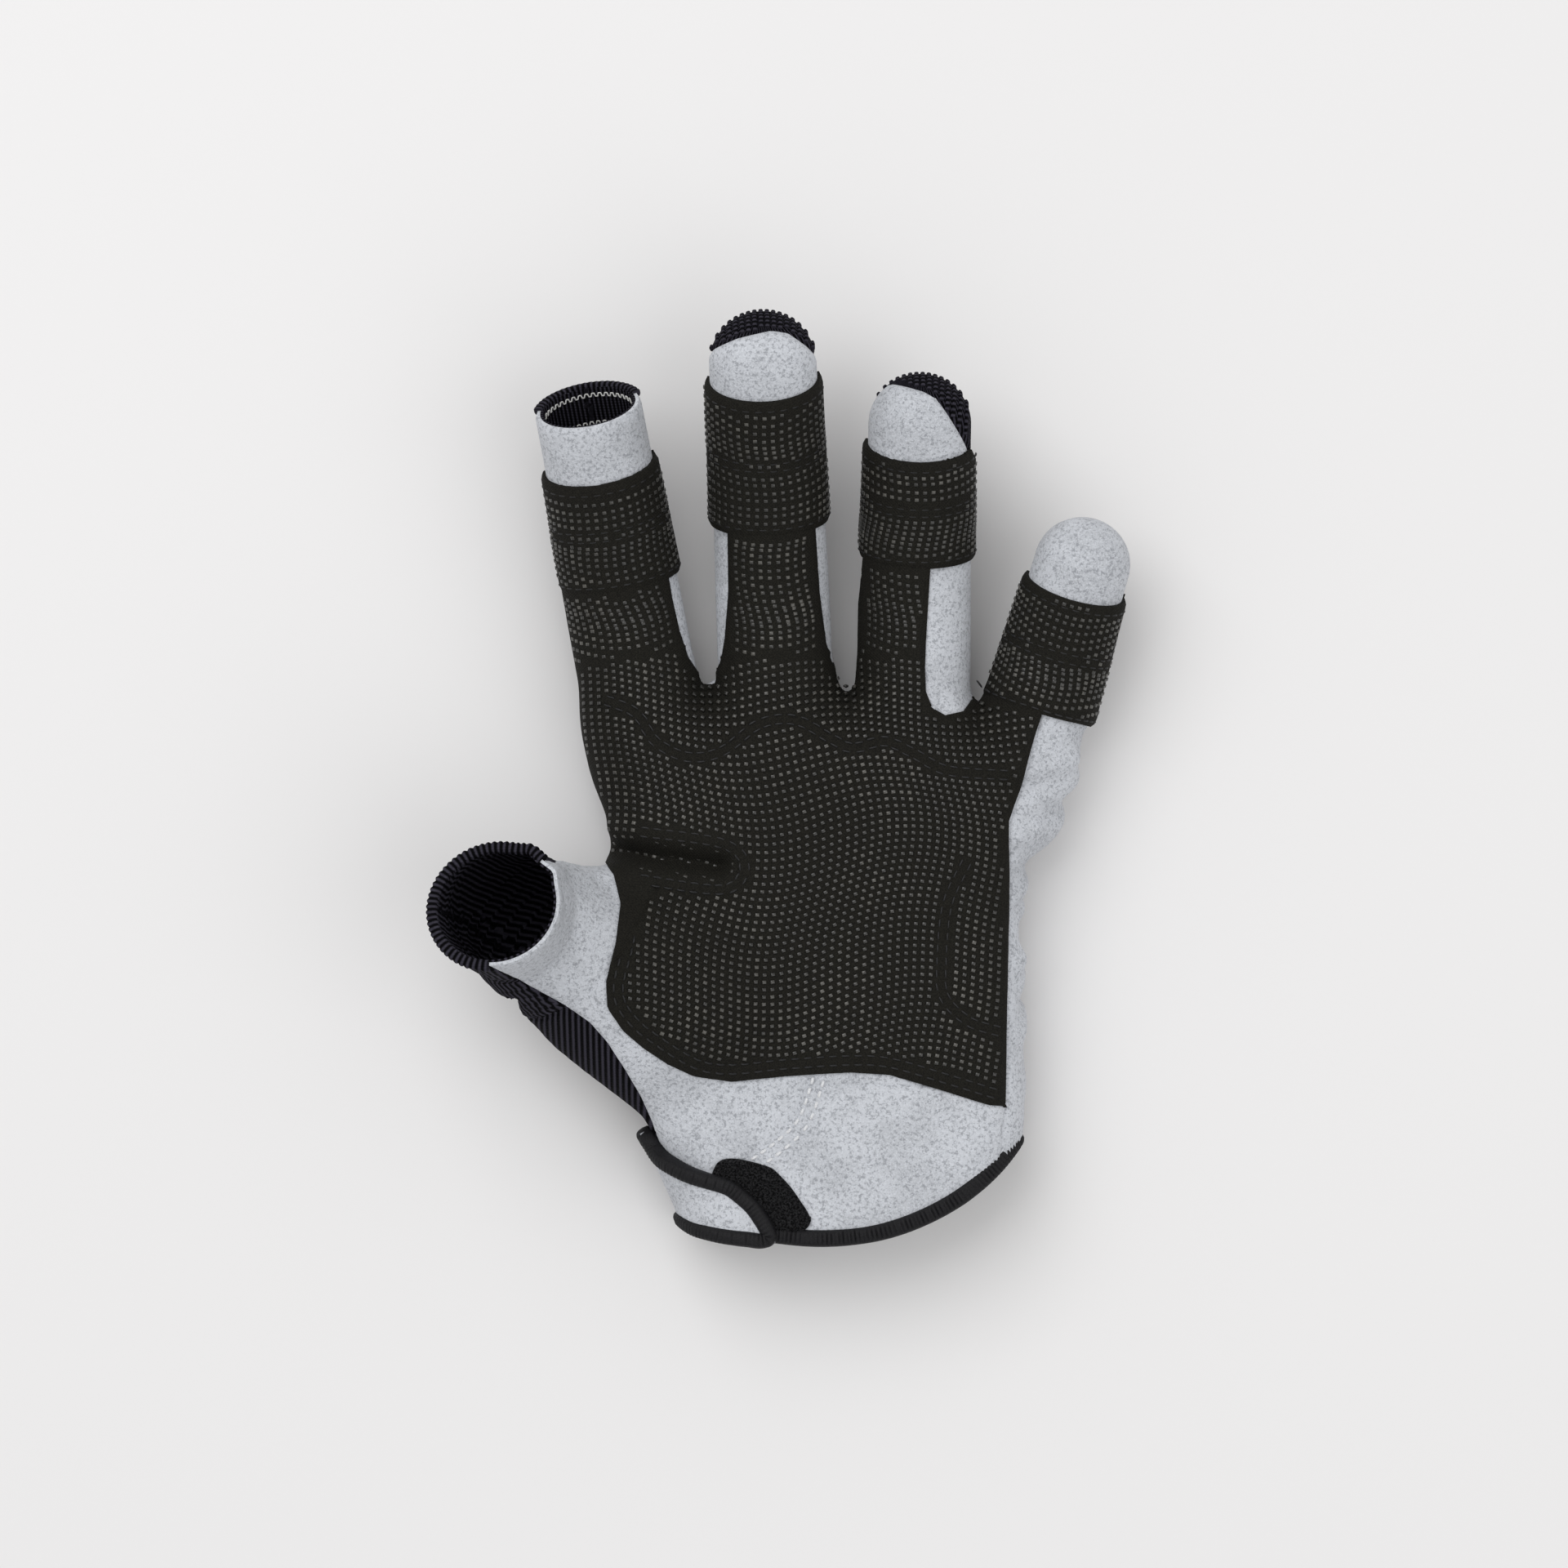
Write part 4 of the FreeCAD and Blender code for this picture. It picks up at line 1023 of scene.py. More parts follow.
@dataclass(frozen=True)
class Stamp:
    """Small solid that is repeated over the cloth, in (lead, side, up) millimetres."""

    points: np.ndarray
    faces: tuple

    @classmethod
    def rings(cls, rings: Sequence[tuple], sides: int, turn: float) -> "Stamp":
        """Solid through rings of points.

        Args:
            rings: for each ring its centre, and the two half axes, each in stamp coordinates.
            sides: points in each ring.
            turn: angle of the first point.

        Returns:
            The stamp.
        """
        angles = turn + np.arange(sides) * 2 * math.pi / sides
        rows = [np.array(c) + np.outer(np.cos(angles), a) + np.outer(np.sin(angles), b) for c, a, b in rings]
        faces = [tuple(range(sides - 1, -1, -1))]
        for ring in range(len(rings) - 1):
            for k in range(sides):
                low, high = ring * sides, (ring + 1) * sides
                faces.append((low + k, low + (k + 1) % sides, high + (k + 1) % sides, high + k))
        faces.append(tuple((len(rings) - 1) * sides + k for k in range(sides)))
        return cls(np.vstack(rows), tuple(faces))

    @classmethod
    def thread(cls, length: float = 2.15, radius: float = 0.24) -> "Stamp":
        """One stitch of thread, dipping into the cloth at both ends."""
        rows = []
        for share, thick in ((-1.0, 0.4), (-0.7, 0.95), (0.0, 1.1), (0.7, 0.95), (1.0, 0.4)):
            centre = (share * length / 2, 0.0, -0.22 * share**4)
            rows.append((centre, (0.0, radius * thick, 0.0), (0.0, 0.0, radius * thick)))
        return cls.rings(rows, 6, 0.0)

    @classmethod
    def square(cls, width: float = 1.02, depth: float = 0.86, height: float = 0.3) -> "Stamp":
        """One raised square with a slightly smaller top."""
        rows = []
        for level, share in ((-0.2, 1.0), (height * 0.65, 0.96), (height, 0.74)):
            half_depth, half_width = depth * share / math.sqrt(2), width * share / math.sqrt(2)
            rows.append(((0.0, 0.0, level), (half_depth, 0.0, 0.0), (0.0, half_width, 0.0)))
        return cls.rings(rows, 4, math.pi / 4)

    def scatter(self, name: str, places: np.ndarray, leads: np.ndarray, normals: np.ndarray,
                finish: Finish) -> bpy.types.Object:
        """One mesh with a copy at every place.

        Args:
            name: piece's name.
            places: a point for each copy.
            leads: direction of each copy's length.
            normals: outward direction at each copy.
            finish: finish of the copies.

        Returns:
            The built piece.
        """
        across = unit(np.cross(normals, leads))
        ahead = np.cross(across, normals)
        local = self.points
        rows = (places[:, None] + local[None, :, :1] * ahead[:, None] + local[None, :, 1:2] * across[:, None]
                + local[None, :, 2:] * normals[:, None])
        count = len(local)
        faces = [[k + i * count for k in face] for i in range(len(places)) for face in self.faces]
        return Piece(name, rows.reshape(-1, 3), faces, finish).build()


@dataclass(frozen=True)
class Ribbon:
    """Tape or rim swept along a line on the cloth."""

    half_width: float
    above: float
    below: float
    rib_pitch: float = 1.0
    rib_depth: float = 0.3
    sides: int = 14

    def sweep(self, name: str, path: np.ndarray, normals: np.ndarray, finish: Finish,
              closed: bool = False) -> bpy.types.Object:
        """Make the tape.

        Args:
            name: piece's name.
            path: centre line.
            normals: outward directions along it.
            finish: finish of the tape.
            closed: whether the line returns to its start.

        Returns:
            The built piece.
        """
        points, faces, walked = self.solid(path, normals, closed)
        return Piece(name, points, faces, finish, walked).build()

    def bundle(self, name: str, lines: Sequence[tuple], finish: Finish) -> bpy.types.Object:
        """Make one piece of several open strands.

        Args:
            name: piece's name.
            lines: a path and its outward directions for each strand.
            finish: finish of the strands.

        Returns:
            The built piece.
        """
        points, faces, ribs, count = [], [], [], 0
        for path, normals in lines:
            rows, loops, walked = self.solid(path, normals, False)
            points.append(rows)
            ribs.append(walked)
            faces += [[corner + count for corner in face] for face in loops]
            count += len(rows)
        return Piece(name, np.vstack(points), faces, finish, np.concatenate(ribs)).build()

    def solid(self, path: np.ndarray, normals: np.ndarray, closed: bool) -> tuple:
        """Points, faces and walked lengths of the swept tape."""
        if closed:
            leads = unit(np.roll(path, -1, axis=0) - np.roll(path, 1, axis=0))
        else:
            leads = unit(np.gradient(path, axis=0))
        across = unit(np.cross(leads, normals))
        walked = walk(path)
        swell = 1.0 + self.rib_depth * np.abs(np.sin(math.pi * walked / self.rib_pitch))
        angles = np.arange(self.sides) * 2 * math.pi / self.sides
        wide = np.sign(np.cos(angles)) * np.abs(np.cos(angles)) ** 0.6 * self.half_width
        tall = np.sign(np.sin(angles)) * np.abs(np.sin(angles)) ** 0.75
        tall = np.where(tall > 0, tall * self.above, tall * self.below)
        rows = (path[:, None] + across[:, None] * wide[None, :, None]
                + normals[:, None] * (tall[None] * swell[:, None])[:, :, None])
        count, sides = len(path), self.sides
        faces = []
        for i in range(count if closed else count - 1):
            low, high = i * sides, (i + 1) % count * sides
            turns = [(k, (k + 1) % sides) for k in range(sides)]
            faces += [[low + k, high + k, high + after, low + after] for k, after in turns]
        if not closed:
            faces += [list(range(sides)), [(count - 1) * sides + k for k in range(sides - 1, -1, -1)]]
        return rows.reshape(-1, 3), faces, np.repeat(walked, sides)


def even_loop(line: np.ndarray, spacing: float, smooth: int) -> np.ndarray:
    """Closed line with even spacing, smoothed.

    Args:
        line: ordered points.
        spacing: distance between the returned points.
        smooth: how many neighbours on each side are averaged.

    Returns:
        The new closed line.
    """
    ring = np.vstack([line, line[:1]])
    walked = walk(ring)
    stops = np.arange(0.0, walked[-1], spacing)
    even = np.column_stack([np.interp(stops, walked, ring[:, i]) for i in range(3)])
    return np.mean([np.roll(even, k, axis=0) for k in range(-smooth, smooth + 1)], axis=0)


def one_run(values: np.ndarray) -> np.ndarray:
    """Indices of the unbroken negative run of a closed line, in order."""
    first = int(np.argmax((values < 0) & (np.roll(values, 1) >= 0)))
    order = np.roll(np.arange(len(values)), -first)
    length = int(np.argmax(values[order] >= 0))
    return order[:length]


# ---------------------------------------------------------------- sub-assemblies


@dataclass
class HandPanels:
    """Panels of the hand body: palm, back, gussets, wrist and cuff."""

    form: HandForm
    cloth: Cloth
    back_seam: float = 6.0
    finger_rise: float = 4.0
    side_dip: float = 1.2
    square_pitch: tuple = (1.9, 1.72)
    wrist_seam: float = -47.0
    thumb_side_seam: float = -44.0
    tape: Ribbon = Ribbon(2.0, 1.55, 1.4)
    cuts: list = field(init=False)

    def build(self) -> None:
        """Cut the hand's part of the form into its panels and dress them."""
        self.cuts = [self.form.owned(tube) for tube in self.form.tubes]
        hand = self.form.surface
        for cut in self.cuts:
            hand = hand.split(cut).keep(opposite(cut))
        self.panels(hand)
        self.patch(hand)
        self.squares()
        self.stitching()
        self.binding()

    def panels(self, shell: Shell) -> None:
        """Take one panel after the other off the hand's shell."""
        webs = [f"web_{pair}" for pair in ("index_middle", "middle_ring", "ring_little")]
        roots = [f"{tube.name}_root_sleeve" for tube in self.form.fingers]
        thumb_nodes = ("thumb_base_panel", "thumb_root_palm", "wrist_side_gusset")
        panels = (
            ("back_knit", opposite(self.suede), Finish.KNIT, ("back_panel", "thumb_root_back")),
            ("little_side", self.little_side, Finish.SUEDE, ("little_side_gusset",)),
            ("thumb_base", self.thumb_base, Finish.SUEDE, thumb_nodes),
            ("wrist_palm", lambda p: self.wrist_seam - p[:, 1], Finish.SUEDE, ("wrist_palm_panel",)),
            ("thumb_side", lambda p: self.thumb_side_seam - p[:, 0], Finish.SUEDE, ("thumb_side_gusset",)),
            ("palm", lambda p: np.ones(len(p)), Finish.SUEDE, ("palm_panel", *webs, *roots)))
        for name, rule, finish, nodes in panels:
            shell = shell.split(rule)
            item = self.cloth.lay(f"hand_{name}", shell.keep(rule), finish, joined=self.cuts)
            attach(item, "hand", *nodes)
            shell = shell.keep(opposite(rule))

    def suede(self, points: np.ndarray) -> np.ndarray:
        """Positive on the grey palm side."""
        x, y, z = points.T
        rise = self.finger_rise * smooth_step(30.0, 47.0, y)
        seam = self.back_seam + rise - self.side_dip * smooth_step(20.0, 45.0, x)
        return np.minimum(z - seam, polygon_distance(SUEDE_OUTLINE, points[:, :2]))

    def little_side(self, points: np.ndarray) -> np.ndarray:
        """Positive on the wrinkled side panel next to the little finger."""
        return points[:, 0] - np.interp(points[:, 1], LITTLE_LINE[:, 0], LITTLE_LINE[:, 1])

    def thumb_base(self, points: np.ndarray) -> np.ndarray:
        """Positive on the panel over the thumb's mound."""
        seam = np.interp(points[:, 1], THENAR_LINE[:, 0], THENAR_LINE[:, 1])
        return np.minimum((seam - points[:, 0]) * 0.85, 4.0 - points[:, 1])

    def patch(self, hand: Shell) -> None:
        """Grip patch over the palm, reaching to the finger strips."""
        shell = hand.split(on_patch).keep(on_patch)
        item = self.cloth.lay("palm_patch", shell, Finish.GRIP, GRIP_HEIGHT, PATCH_SEAT, joined=self.cuts,
                              **PATCH_EDGE)
        attach(item, "hand", "palm_grip_patch")

    def squares(self) -> None:
        """Raised squares of the palm in flowing waves."""
        pitch_x, pitch_y = self.square_pitch
        grids = np.meshgrid(np.arange(-70, 64, pitch_x), np.arange(-66, 68, pitch_y))
        u, v = (grid.ravel() for grid in grids)
        x = u + 2.4 * np.sin(0.062 * v + 0.9 + 0.01 * u) + 0.8 * np.sin(0.15 * v)
        broad = 3.4 * np.sin(0.075 * u - 0.6) * smooth_step(60.0, -10.0, v)
        y = v + broad + 2.0 * np.sin(0.11 * u + 0.03 * v)
        plan = np.column_stack([x, y])
        plan = plan[polygon_distance(PATCH_OUTLINE, plan) > 1.5]
        lines = np.vstack([curve_through(line, 0.6) for line in PALM_STITCHES])
        gap = np.linalg.norm(plan[:, None] - lines[None], axis=2).min(1)
        plan = plan[gap > 1.9]
        points = self.form.drop(plan, GRIP_HEIGHT - 0.02)
        normals = self.form.normals(points)
        held = (normals[:, 2] > 0.3) & (points[:, 2] > 13.0)
        held &= np.all([cut(points) < -0.9 for cut in self.cuts], axis=0) & clear_of_gaps(points)
        points, normals = points[held], normals[held]
        slope = 0.25 * np.cos(0.075 * points[:, 0] - 0.6) + 0.22 * np.cos(0.11 * points[:, 0])
        leads = np.column_stack([-slope, np.ones(len(points)), np.zeros(len(points))])
        attach(Stamp.square().scatter("palm_squares", points, leads, normals, Finish.SQUARE), "hand")

    def row(self, line: Sequence, offset: float, shift: float, spacing: float = STITCH_SPACING) -> tuple:
        """Places, leads and normals of one row of stitches beside a plan line."""
        plan = curve_through(line, spacing)
        ahead = unit(np.gradient(plan, axis=0))
        plan = plan + np.column_stack([-ahead[:, 1], ahead[:, 0]]) * shift
        points = self.form.drop(plan, offset)
        leads, normals = unit(np.gradient(points, axis=0)), self.form.normals(points)
        held = np.all([cut(points) < -0.5 for cut in self.cuts], axis=0)
        return points[held], leads[held], normals[held]

    def stitching(self) -> None:
        """Double rows of black thread on the palm and of grey thread over the thumb's mound."""
        height = GRIP_HEIGHT + 0.02
        rows = [self.row(line, height, side) for line in PALM_STITCHES for side in (-ROW_GAP, ROW_GAP)]
        attach(Stamp.thread().scatter("palm_stitches", *stacked(rows), Finish.BLACK_THREAD), "hand")
        seam = [(x, y) for y, x in THENAR_LINE if -66.0 < y < -44.0]
        rows = [self.row(seam, 0.08, side, 2.4) for side in (-0.9, -3.4)]
        coarse = Stamp.thread(1.75, 0.36)
        attach(coarse.scatter("thenar_stitches", *stacked(rows), Finish.GREY_THREAD), "hand")

    def binding(self) -> None:
        """Elastic tape folded round the cuff's edge."""
        loop = min(self.form.surface.loops(), key=lambda line: line[:, 1].mean())
        path = even_loop(loop, LOOP_SPACING, 9)
        normals = self.form.normals(path)
        outward = unit(np.column_stack([path[:, :2] - self.form.cuff_centre, np.zeros(len(path))]))
        normals = unit(normals - outward * (normals * outward).sum(1)[:, None] * 0.6)
        centre = path - normals * 0.6 - outward * 1.3
        item = self.tape.sweep("cuff_tape", centre, normals, Finish.TAPE, True)
        attach(item, "hand", "cuff_binding")


@dataclass
class TubePanels:
    """What a finger and the thumb share: two halves and an open end with a rim and a knit lining that is
    partly painted shade.
    """

    form: HandForm
    cloth: Cloth
    tube: Tube
    fold: float = field(default=12.0, kw_only=True)
    lining_and_shade_depth: float = field(default=19.0, kw_only=True)
    rim_sink: float = field(default=0.6, kw_only=True)
    rim_back: float = field(default=0.2, kw_only=True)
    cut: Field = field(init=False)

    def __post_init__(self) -> None:
        """Set the rule that separates the tube from the hand."""
        self.cut = self.form.owned(self.tube)

    def suede(self, points: np.ndarray) -> np.ndarray:
        """Positive on the grey palm side."""
        raise NotImplementedError

    def halves(self) -> tuple:
        """The grey half's surface, its piece and the knit half's piece."""
        name = self.tube.name
        shell = self.form.surface.split(self.cut).keep(self.cut).split(self.suede)
        palm, back = shell.keep(self.suede), shell.keep(opposite(self.suede))
        grey = self.cloth.lay(f"{name}_suede", palm, Finish.SUEDE, joined=[self.cut])
        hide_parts(f"{name}_palm_side", f"{name}_knuckle_sleeve")
        knit = self.cloth.lay(f"{name}_knit", back, Finish.KNIT, joined=[self.cut], tube=self.tube)
        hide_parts(f"{name}_back_knit")
        return palm, grey, knit

    def bend(self, items: Sequence[bpy.types.Object]) -> None:
        """Bake each piece's transform into its mesh."""
        tube = self.tube
        station = tube.station_of(tube.hinge)
        before, after = (tube.frame_at(station + side * self.fold)[1] for side in (-1, 1))
        low, high = tube.hinge - before * self.fold, tube.hinge + after * self.fold
        for item in items:
            tuple(low * MM)
            tuple(high * MM)
            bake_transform(item)

    def mouth_line(self) -> np.ndarray:
        """Even line round the tube's open end."""
        end = self.tube.path[-1]
        loop = min(self.form.surface.loops(), key=lambda line: np.linalg.norm(line.mean(0) - end))
        return even_loop(loop, MOUTH_SPACING, 3)

    def rim(self, ribbon: Ribbon, line: np.ndarray, knit: np.ndarray) -> bpy.types.Object:
        """Rolled rim along the knit part of the open end."""
        inner, normals = self.cloth.seated(line, -self.rim_sink)
        path = inner[knit] - self.tube.lead * self.rim_back
        item = ribbon.sweep(f"{self.tube.name}_rim", path, normals[knit], Finish.KNIT)
        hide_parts(f"{self.tube.name}_hem")
        return item

    def lining_and_shade(self) -> bpy.types.Object:
        """Dark knit lining inside the open end: partly the real black knit inside, partly painted shade over
        the inner side of the cloth.
        """
        start = self.tube.end_station - self.lining_and_shade_depth

        def deep(points: np.ndarray) -> np.ndarray:
            """Positive beyond the lining's start."""
            return self.tube.coordinates(points)[1] - start

        shell = self.form.surface.split(deep).keep(lambda p: np.minimum(deep(p), self.cut(p)))
        return self.cloth.lay(f"{self.tube.name}_lining", shell, Finish.KNIT, tube=self.tube, **LINING_AND_SHADE)


@dataclass
class FingerPanels(TubePanels):
    """One finger with its suede, knit, grip wrap, strip and stitches."""

    wrap_low: tuple
    wrap_high: tuple
    cap: tuple | None
    bow: float = 0.002
    side_seam: float = -3.0
    wrap_height: float = 1.3
    rib_pitch: float = 1.45
    square_pitch: float = 1.72
    zigzag_depths: tuple = (2.2, 9.5)
    rim_tape: Ribbon = Ribbon(0.9, 0.95, 0.8, 1.3, 0.35)
    zigzag: Ribbon = Ribbon(0.17, 0.16, 0.16, rib_depth=0.0)
    tip_rib: Ribbon = Ribbon(0.52, 0.5, 0.4, rib_depth=0.0)
    low: float = field(init=False)
    high: float = field(init=False)

    def build(self) -> None:
        """Cut and dress the finger."""
        tube, name = self.tube, self.tube.name
        marks = self.form.drop(np.array([self.wrap_low, self.wrap_high], float))
        _, stations, sides, _ = tube.coordinates(marks)
        self.low, self.high = stations - self.bow * sides**2
        palm, grey, knit = self.halves()
        wrap = palm.split(self.on_wrap).keep(self.on_wrap)
        band = self.cloth.lay(f"{name}_wrap", wrap, Finish.GRIP, self.wrap_height, PATCH_SEAT, edge=0.5)
        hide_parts(f"{name}_grip_wrap")
        below = palm.split(self.on_strip).keep(self.on_strip)
        strip = self.cloth.lay(f"{name}_strip", below, Finish.GRIP, GRIP_HEIGHT, PATCH_SEAT,
                               joined=[self.cut], **PATCH_EDGE)
        items = [grey, knit, band, strip, self.squares(), self.stitches()]
        if tube.open_end:
            items += self.mouth()
        if self.cap is not None:
            items.append(self.tip_ribs())
        self.bend(items)

    def suede(self, points: np.ndarray) -> np.ndarray:
        """Positive on the grey palm side."""
        value = self.tube.coordinates(points)[3] - self.side_seam
        if self.cap is not None:
            line = np.array(self.cap, float)
            value = np.minimum(value, np.interp(points[:, 0], line[:, 0], line[:, 1]) - points[:, 1])
        return value

    def on_wrap(self, points: np.ndarray) -> np.ndarray:
        """Positive on the band round the finger's middle."""
        _, station, side, lift = self.tube.coordinates(points)
        curve = self.bow * side**2
        return np.minimum(np.minimum(station - self.low - curve, self.high + curve - station), lift + 2.6)

    def on_strip(self, points: np.ndarray) -> np.ndarray:
        """Positive on the strip that joins the palm patch to the band."""
        _, station, _, lift = self.tube.coordinates(points)
        inside = polygon_distance(PATCH_OUTLINE, points[:, :2])
        return np.minimum(np.minimum(inside, self.low + 2.5 - station), lift + 2.9)

    def around(self, station: float, angles: np.ndarray, bow: float, offset: float) -> tuple:
        """Places, leads and normals across the palm side of the finger."""
        rows = []
        wide = self.tube.frame_at(station)[3]
        for angle in angles:
            sine, cosine = math.sin(angle), math.cos(angle)
            centre, _, up, radius = self.tube.frame_at(station + bow * (wide * sine) ** 2)
            rows.append(centre + radius * (sine * self.tube.across + cosine * up / self.tube.flatness))
        points, normals = self.cloth.seated(np.array(rows), offset)
        return points, unit(np.gradient(points, axis=0)), normals

    @property
    def stitch_stations(self) -> tuple:
        """Stations of the stitch rows on the band."""
        middle = self.low + 0.52 * (self.high - self.low)
        return self.low + 1.7, middle - ROW_GAP, middle + ROW_GAP, self.high - 2.2

    def stitches(self) -> bpy.types.Object:
        """Rows of thread across the band."""
        angles = np.radians(np.arange(-82.0, 83.0, 12.6))
        rows = [self.around(station, angles, self.bow, self.wrap_height) for station in self.stitch_stations]
        return Stamp.thread().scatter(f"{self.tube.name}_stitches", *stacked(rows), Finish.BLACK_THREAD)

    def squares(self) -> bpy.types.Object:
        """Raised squares of the strip and the band."""
        rows = []
        stations = np.arange(self.tube.cut_station - 2.0, self.high + 3.0, self.square_pitch)
        for index, station in enumerate(stations):
            angles = np.radians(np.arange(-84.0, 85.0, 8.6) + 4.0 * math.sin(0.3 * index + 0.5))
            middle = float(station) + 0.9 * math.sin(0.5 * index)
            bow = 0.02 + 0.014 * math.sin(0.2 * index)
            points, _, normals = self.around(middle, angles, bow, GRIP_HEIGHT - 0.02)
            rows.append((points, normals))
        points, normals = stacked(rows)
        _, station, side, _ = self.tube.coordinates(points)
        on_band = self.on_wrap(points) > 1.3
        below_band = station < self.low + self.bow * side**2 - 1.2
        inside = polygon_distance(PATCH_OUTLINE, points[:, :2]) > 1.3
        on_strip = inside & below_band & (normals[:, 2] > 0.3)
        level = station - self.bow * side**2
        clear = np.all([np.abs(level - row) > 0.75 for row in self.stitch_stations], axis=0)
        held = ((on_band & clear) | on_strip) & (self.cut(points) > 0.6) & clear_of_gaps(points)
        points = points + normals * np.where(on_band, self.wrap_height - GRIP_HEIGHT, 0.0)[:, None]
        points, normals = points[held], normals[held]
        leads = np.tile(self.tube.frame_at(self.low)[1], (len(points), 1))
        return Stamp.square().scatter(f"{self.tube.name}_squares", points, leads, normals, Finish.SQUARE)

    def tip_ribs(self) -> bpy.types.Object:
        """Raised ribs of the knit cap, which run over the fingertip."""
        tube = self.tube
        centre, lead, up, radius = tube.frame_at(tube.end_station)
        angles = np.radians(np.arange(2.0, 150.0, 4.0))
        lines = []
        for side in np.arange(-radius + 0.8, radius, self.rib_pitch):
            reach = math.sqrt(max(radius**2 - side**2, 1.0))
            arc = np.outer(np.sin(angles), lead) + np.outer(np.cos(angles), up)
            points, normals = self.cloth.seated(centre + side * tube.across + reach * arc, 0.02)
            knit = self.suede(points) < -0.35
            if knit.sum() > 4:
                first = int(np.argmax(knit))
                lines.append((points[first:], normals[first:]))
        return self.tip_rib.bundle(f"{tube.name}_tip_ribs", lines, Finish.KNIT)

    def mouth(self) -> list:
        """Rolled rim, knit lining that is partly painted shade, and zigzag thread of an open finger."""
        line = self.mouth_line()
        lift = self.tube.coordinates(line)[3]
        knit = one_run(lift - self.side_seam - 0.4)
        items = [self.rim(self.rim_tape, line, knit), self.lining_and_shade()]
        inner = self.cloth.seated(line, -self.rim_sink)[0][knit]
        for index, depth in enumerate(self.zigzag_depths):
            path, facing = self.cloth.seated(inner - self.tube.lead * depth, -2.0)
            zigzag = path + self.tube.lead * (np.arange(len(path)) % 6 >= 3)[:, None] * 0.8
            name = f"{self.tube.name}_zigzag_{index}"
            items.append(self.zigzag.sweep(name, zigzag, facing, Finish.WHITE_THREAD))
        return items


@dataclass
class ThumbPanels(TubePanels):
    """The open thumb: grey palm side, knit back and ribbed rim."""

    rim_tape: Ribbon = Ribbon(1.15, 1.15, 0.9, 1.35, 0.4)

    def build(self) -> None:
        """Cut and dress the thumb."""
        palm, grey, knit = self.halves()
        shell = palm.split(on_patch).keep(on_patch)
        patch = self.cloth.lay("thumb_patch", shell, Finish.GRIP, GRIP_HEIGHT, PATCH_SEAT, joined=[self.cut],
                               **PATCH_EDGE)
        # The dark knit lining also stands for the painted shade inside the thumb.
        lining_and_shade = self.lining_and_shade()
        line = self.mouth_line()
        rim = self.rim(self.rim_tape, line, one_run(self.suede(line)))
        self.bend((grey, knit, lining_and_shade, rim, patch))

    def suede(self, points: np.ndarray) -> np.ndarray:
        """Positive on the grey palm side."""
        _, station, side, lift = self.tube.coordinates(points)
        slant = 0.94 * smooth_step(40.0, 58.0, station)
        upper = (lift + 3.0 * (1.0 - slant) - slant * side) * 0.8
        lower = polygon_distance(SUEDE_OUTLINE, points[:, :2])
        return np.minimum(np.minimum(upper, lower), np.where(side < 0, lift - 0.13 * side + 1.0, upper))


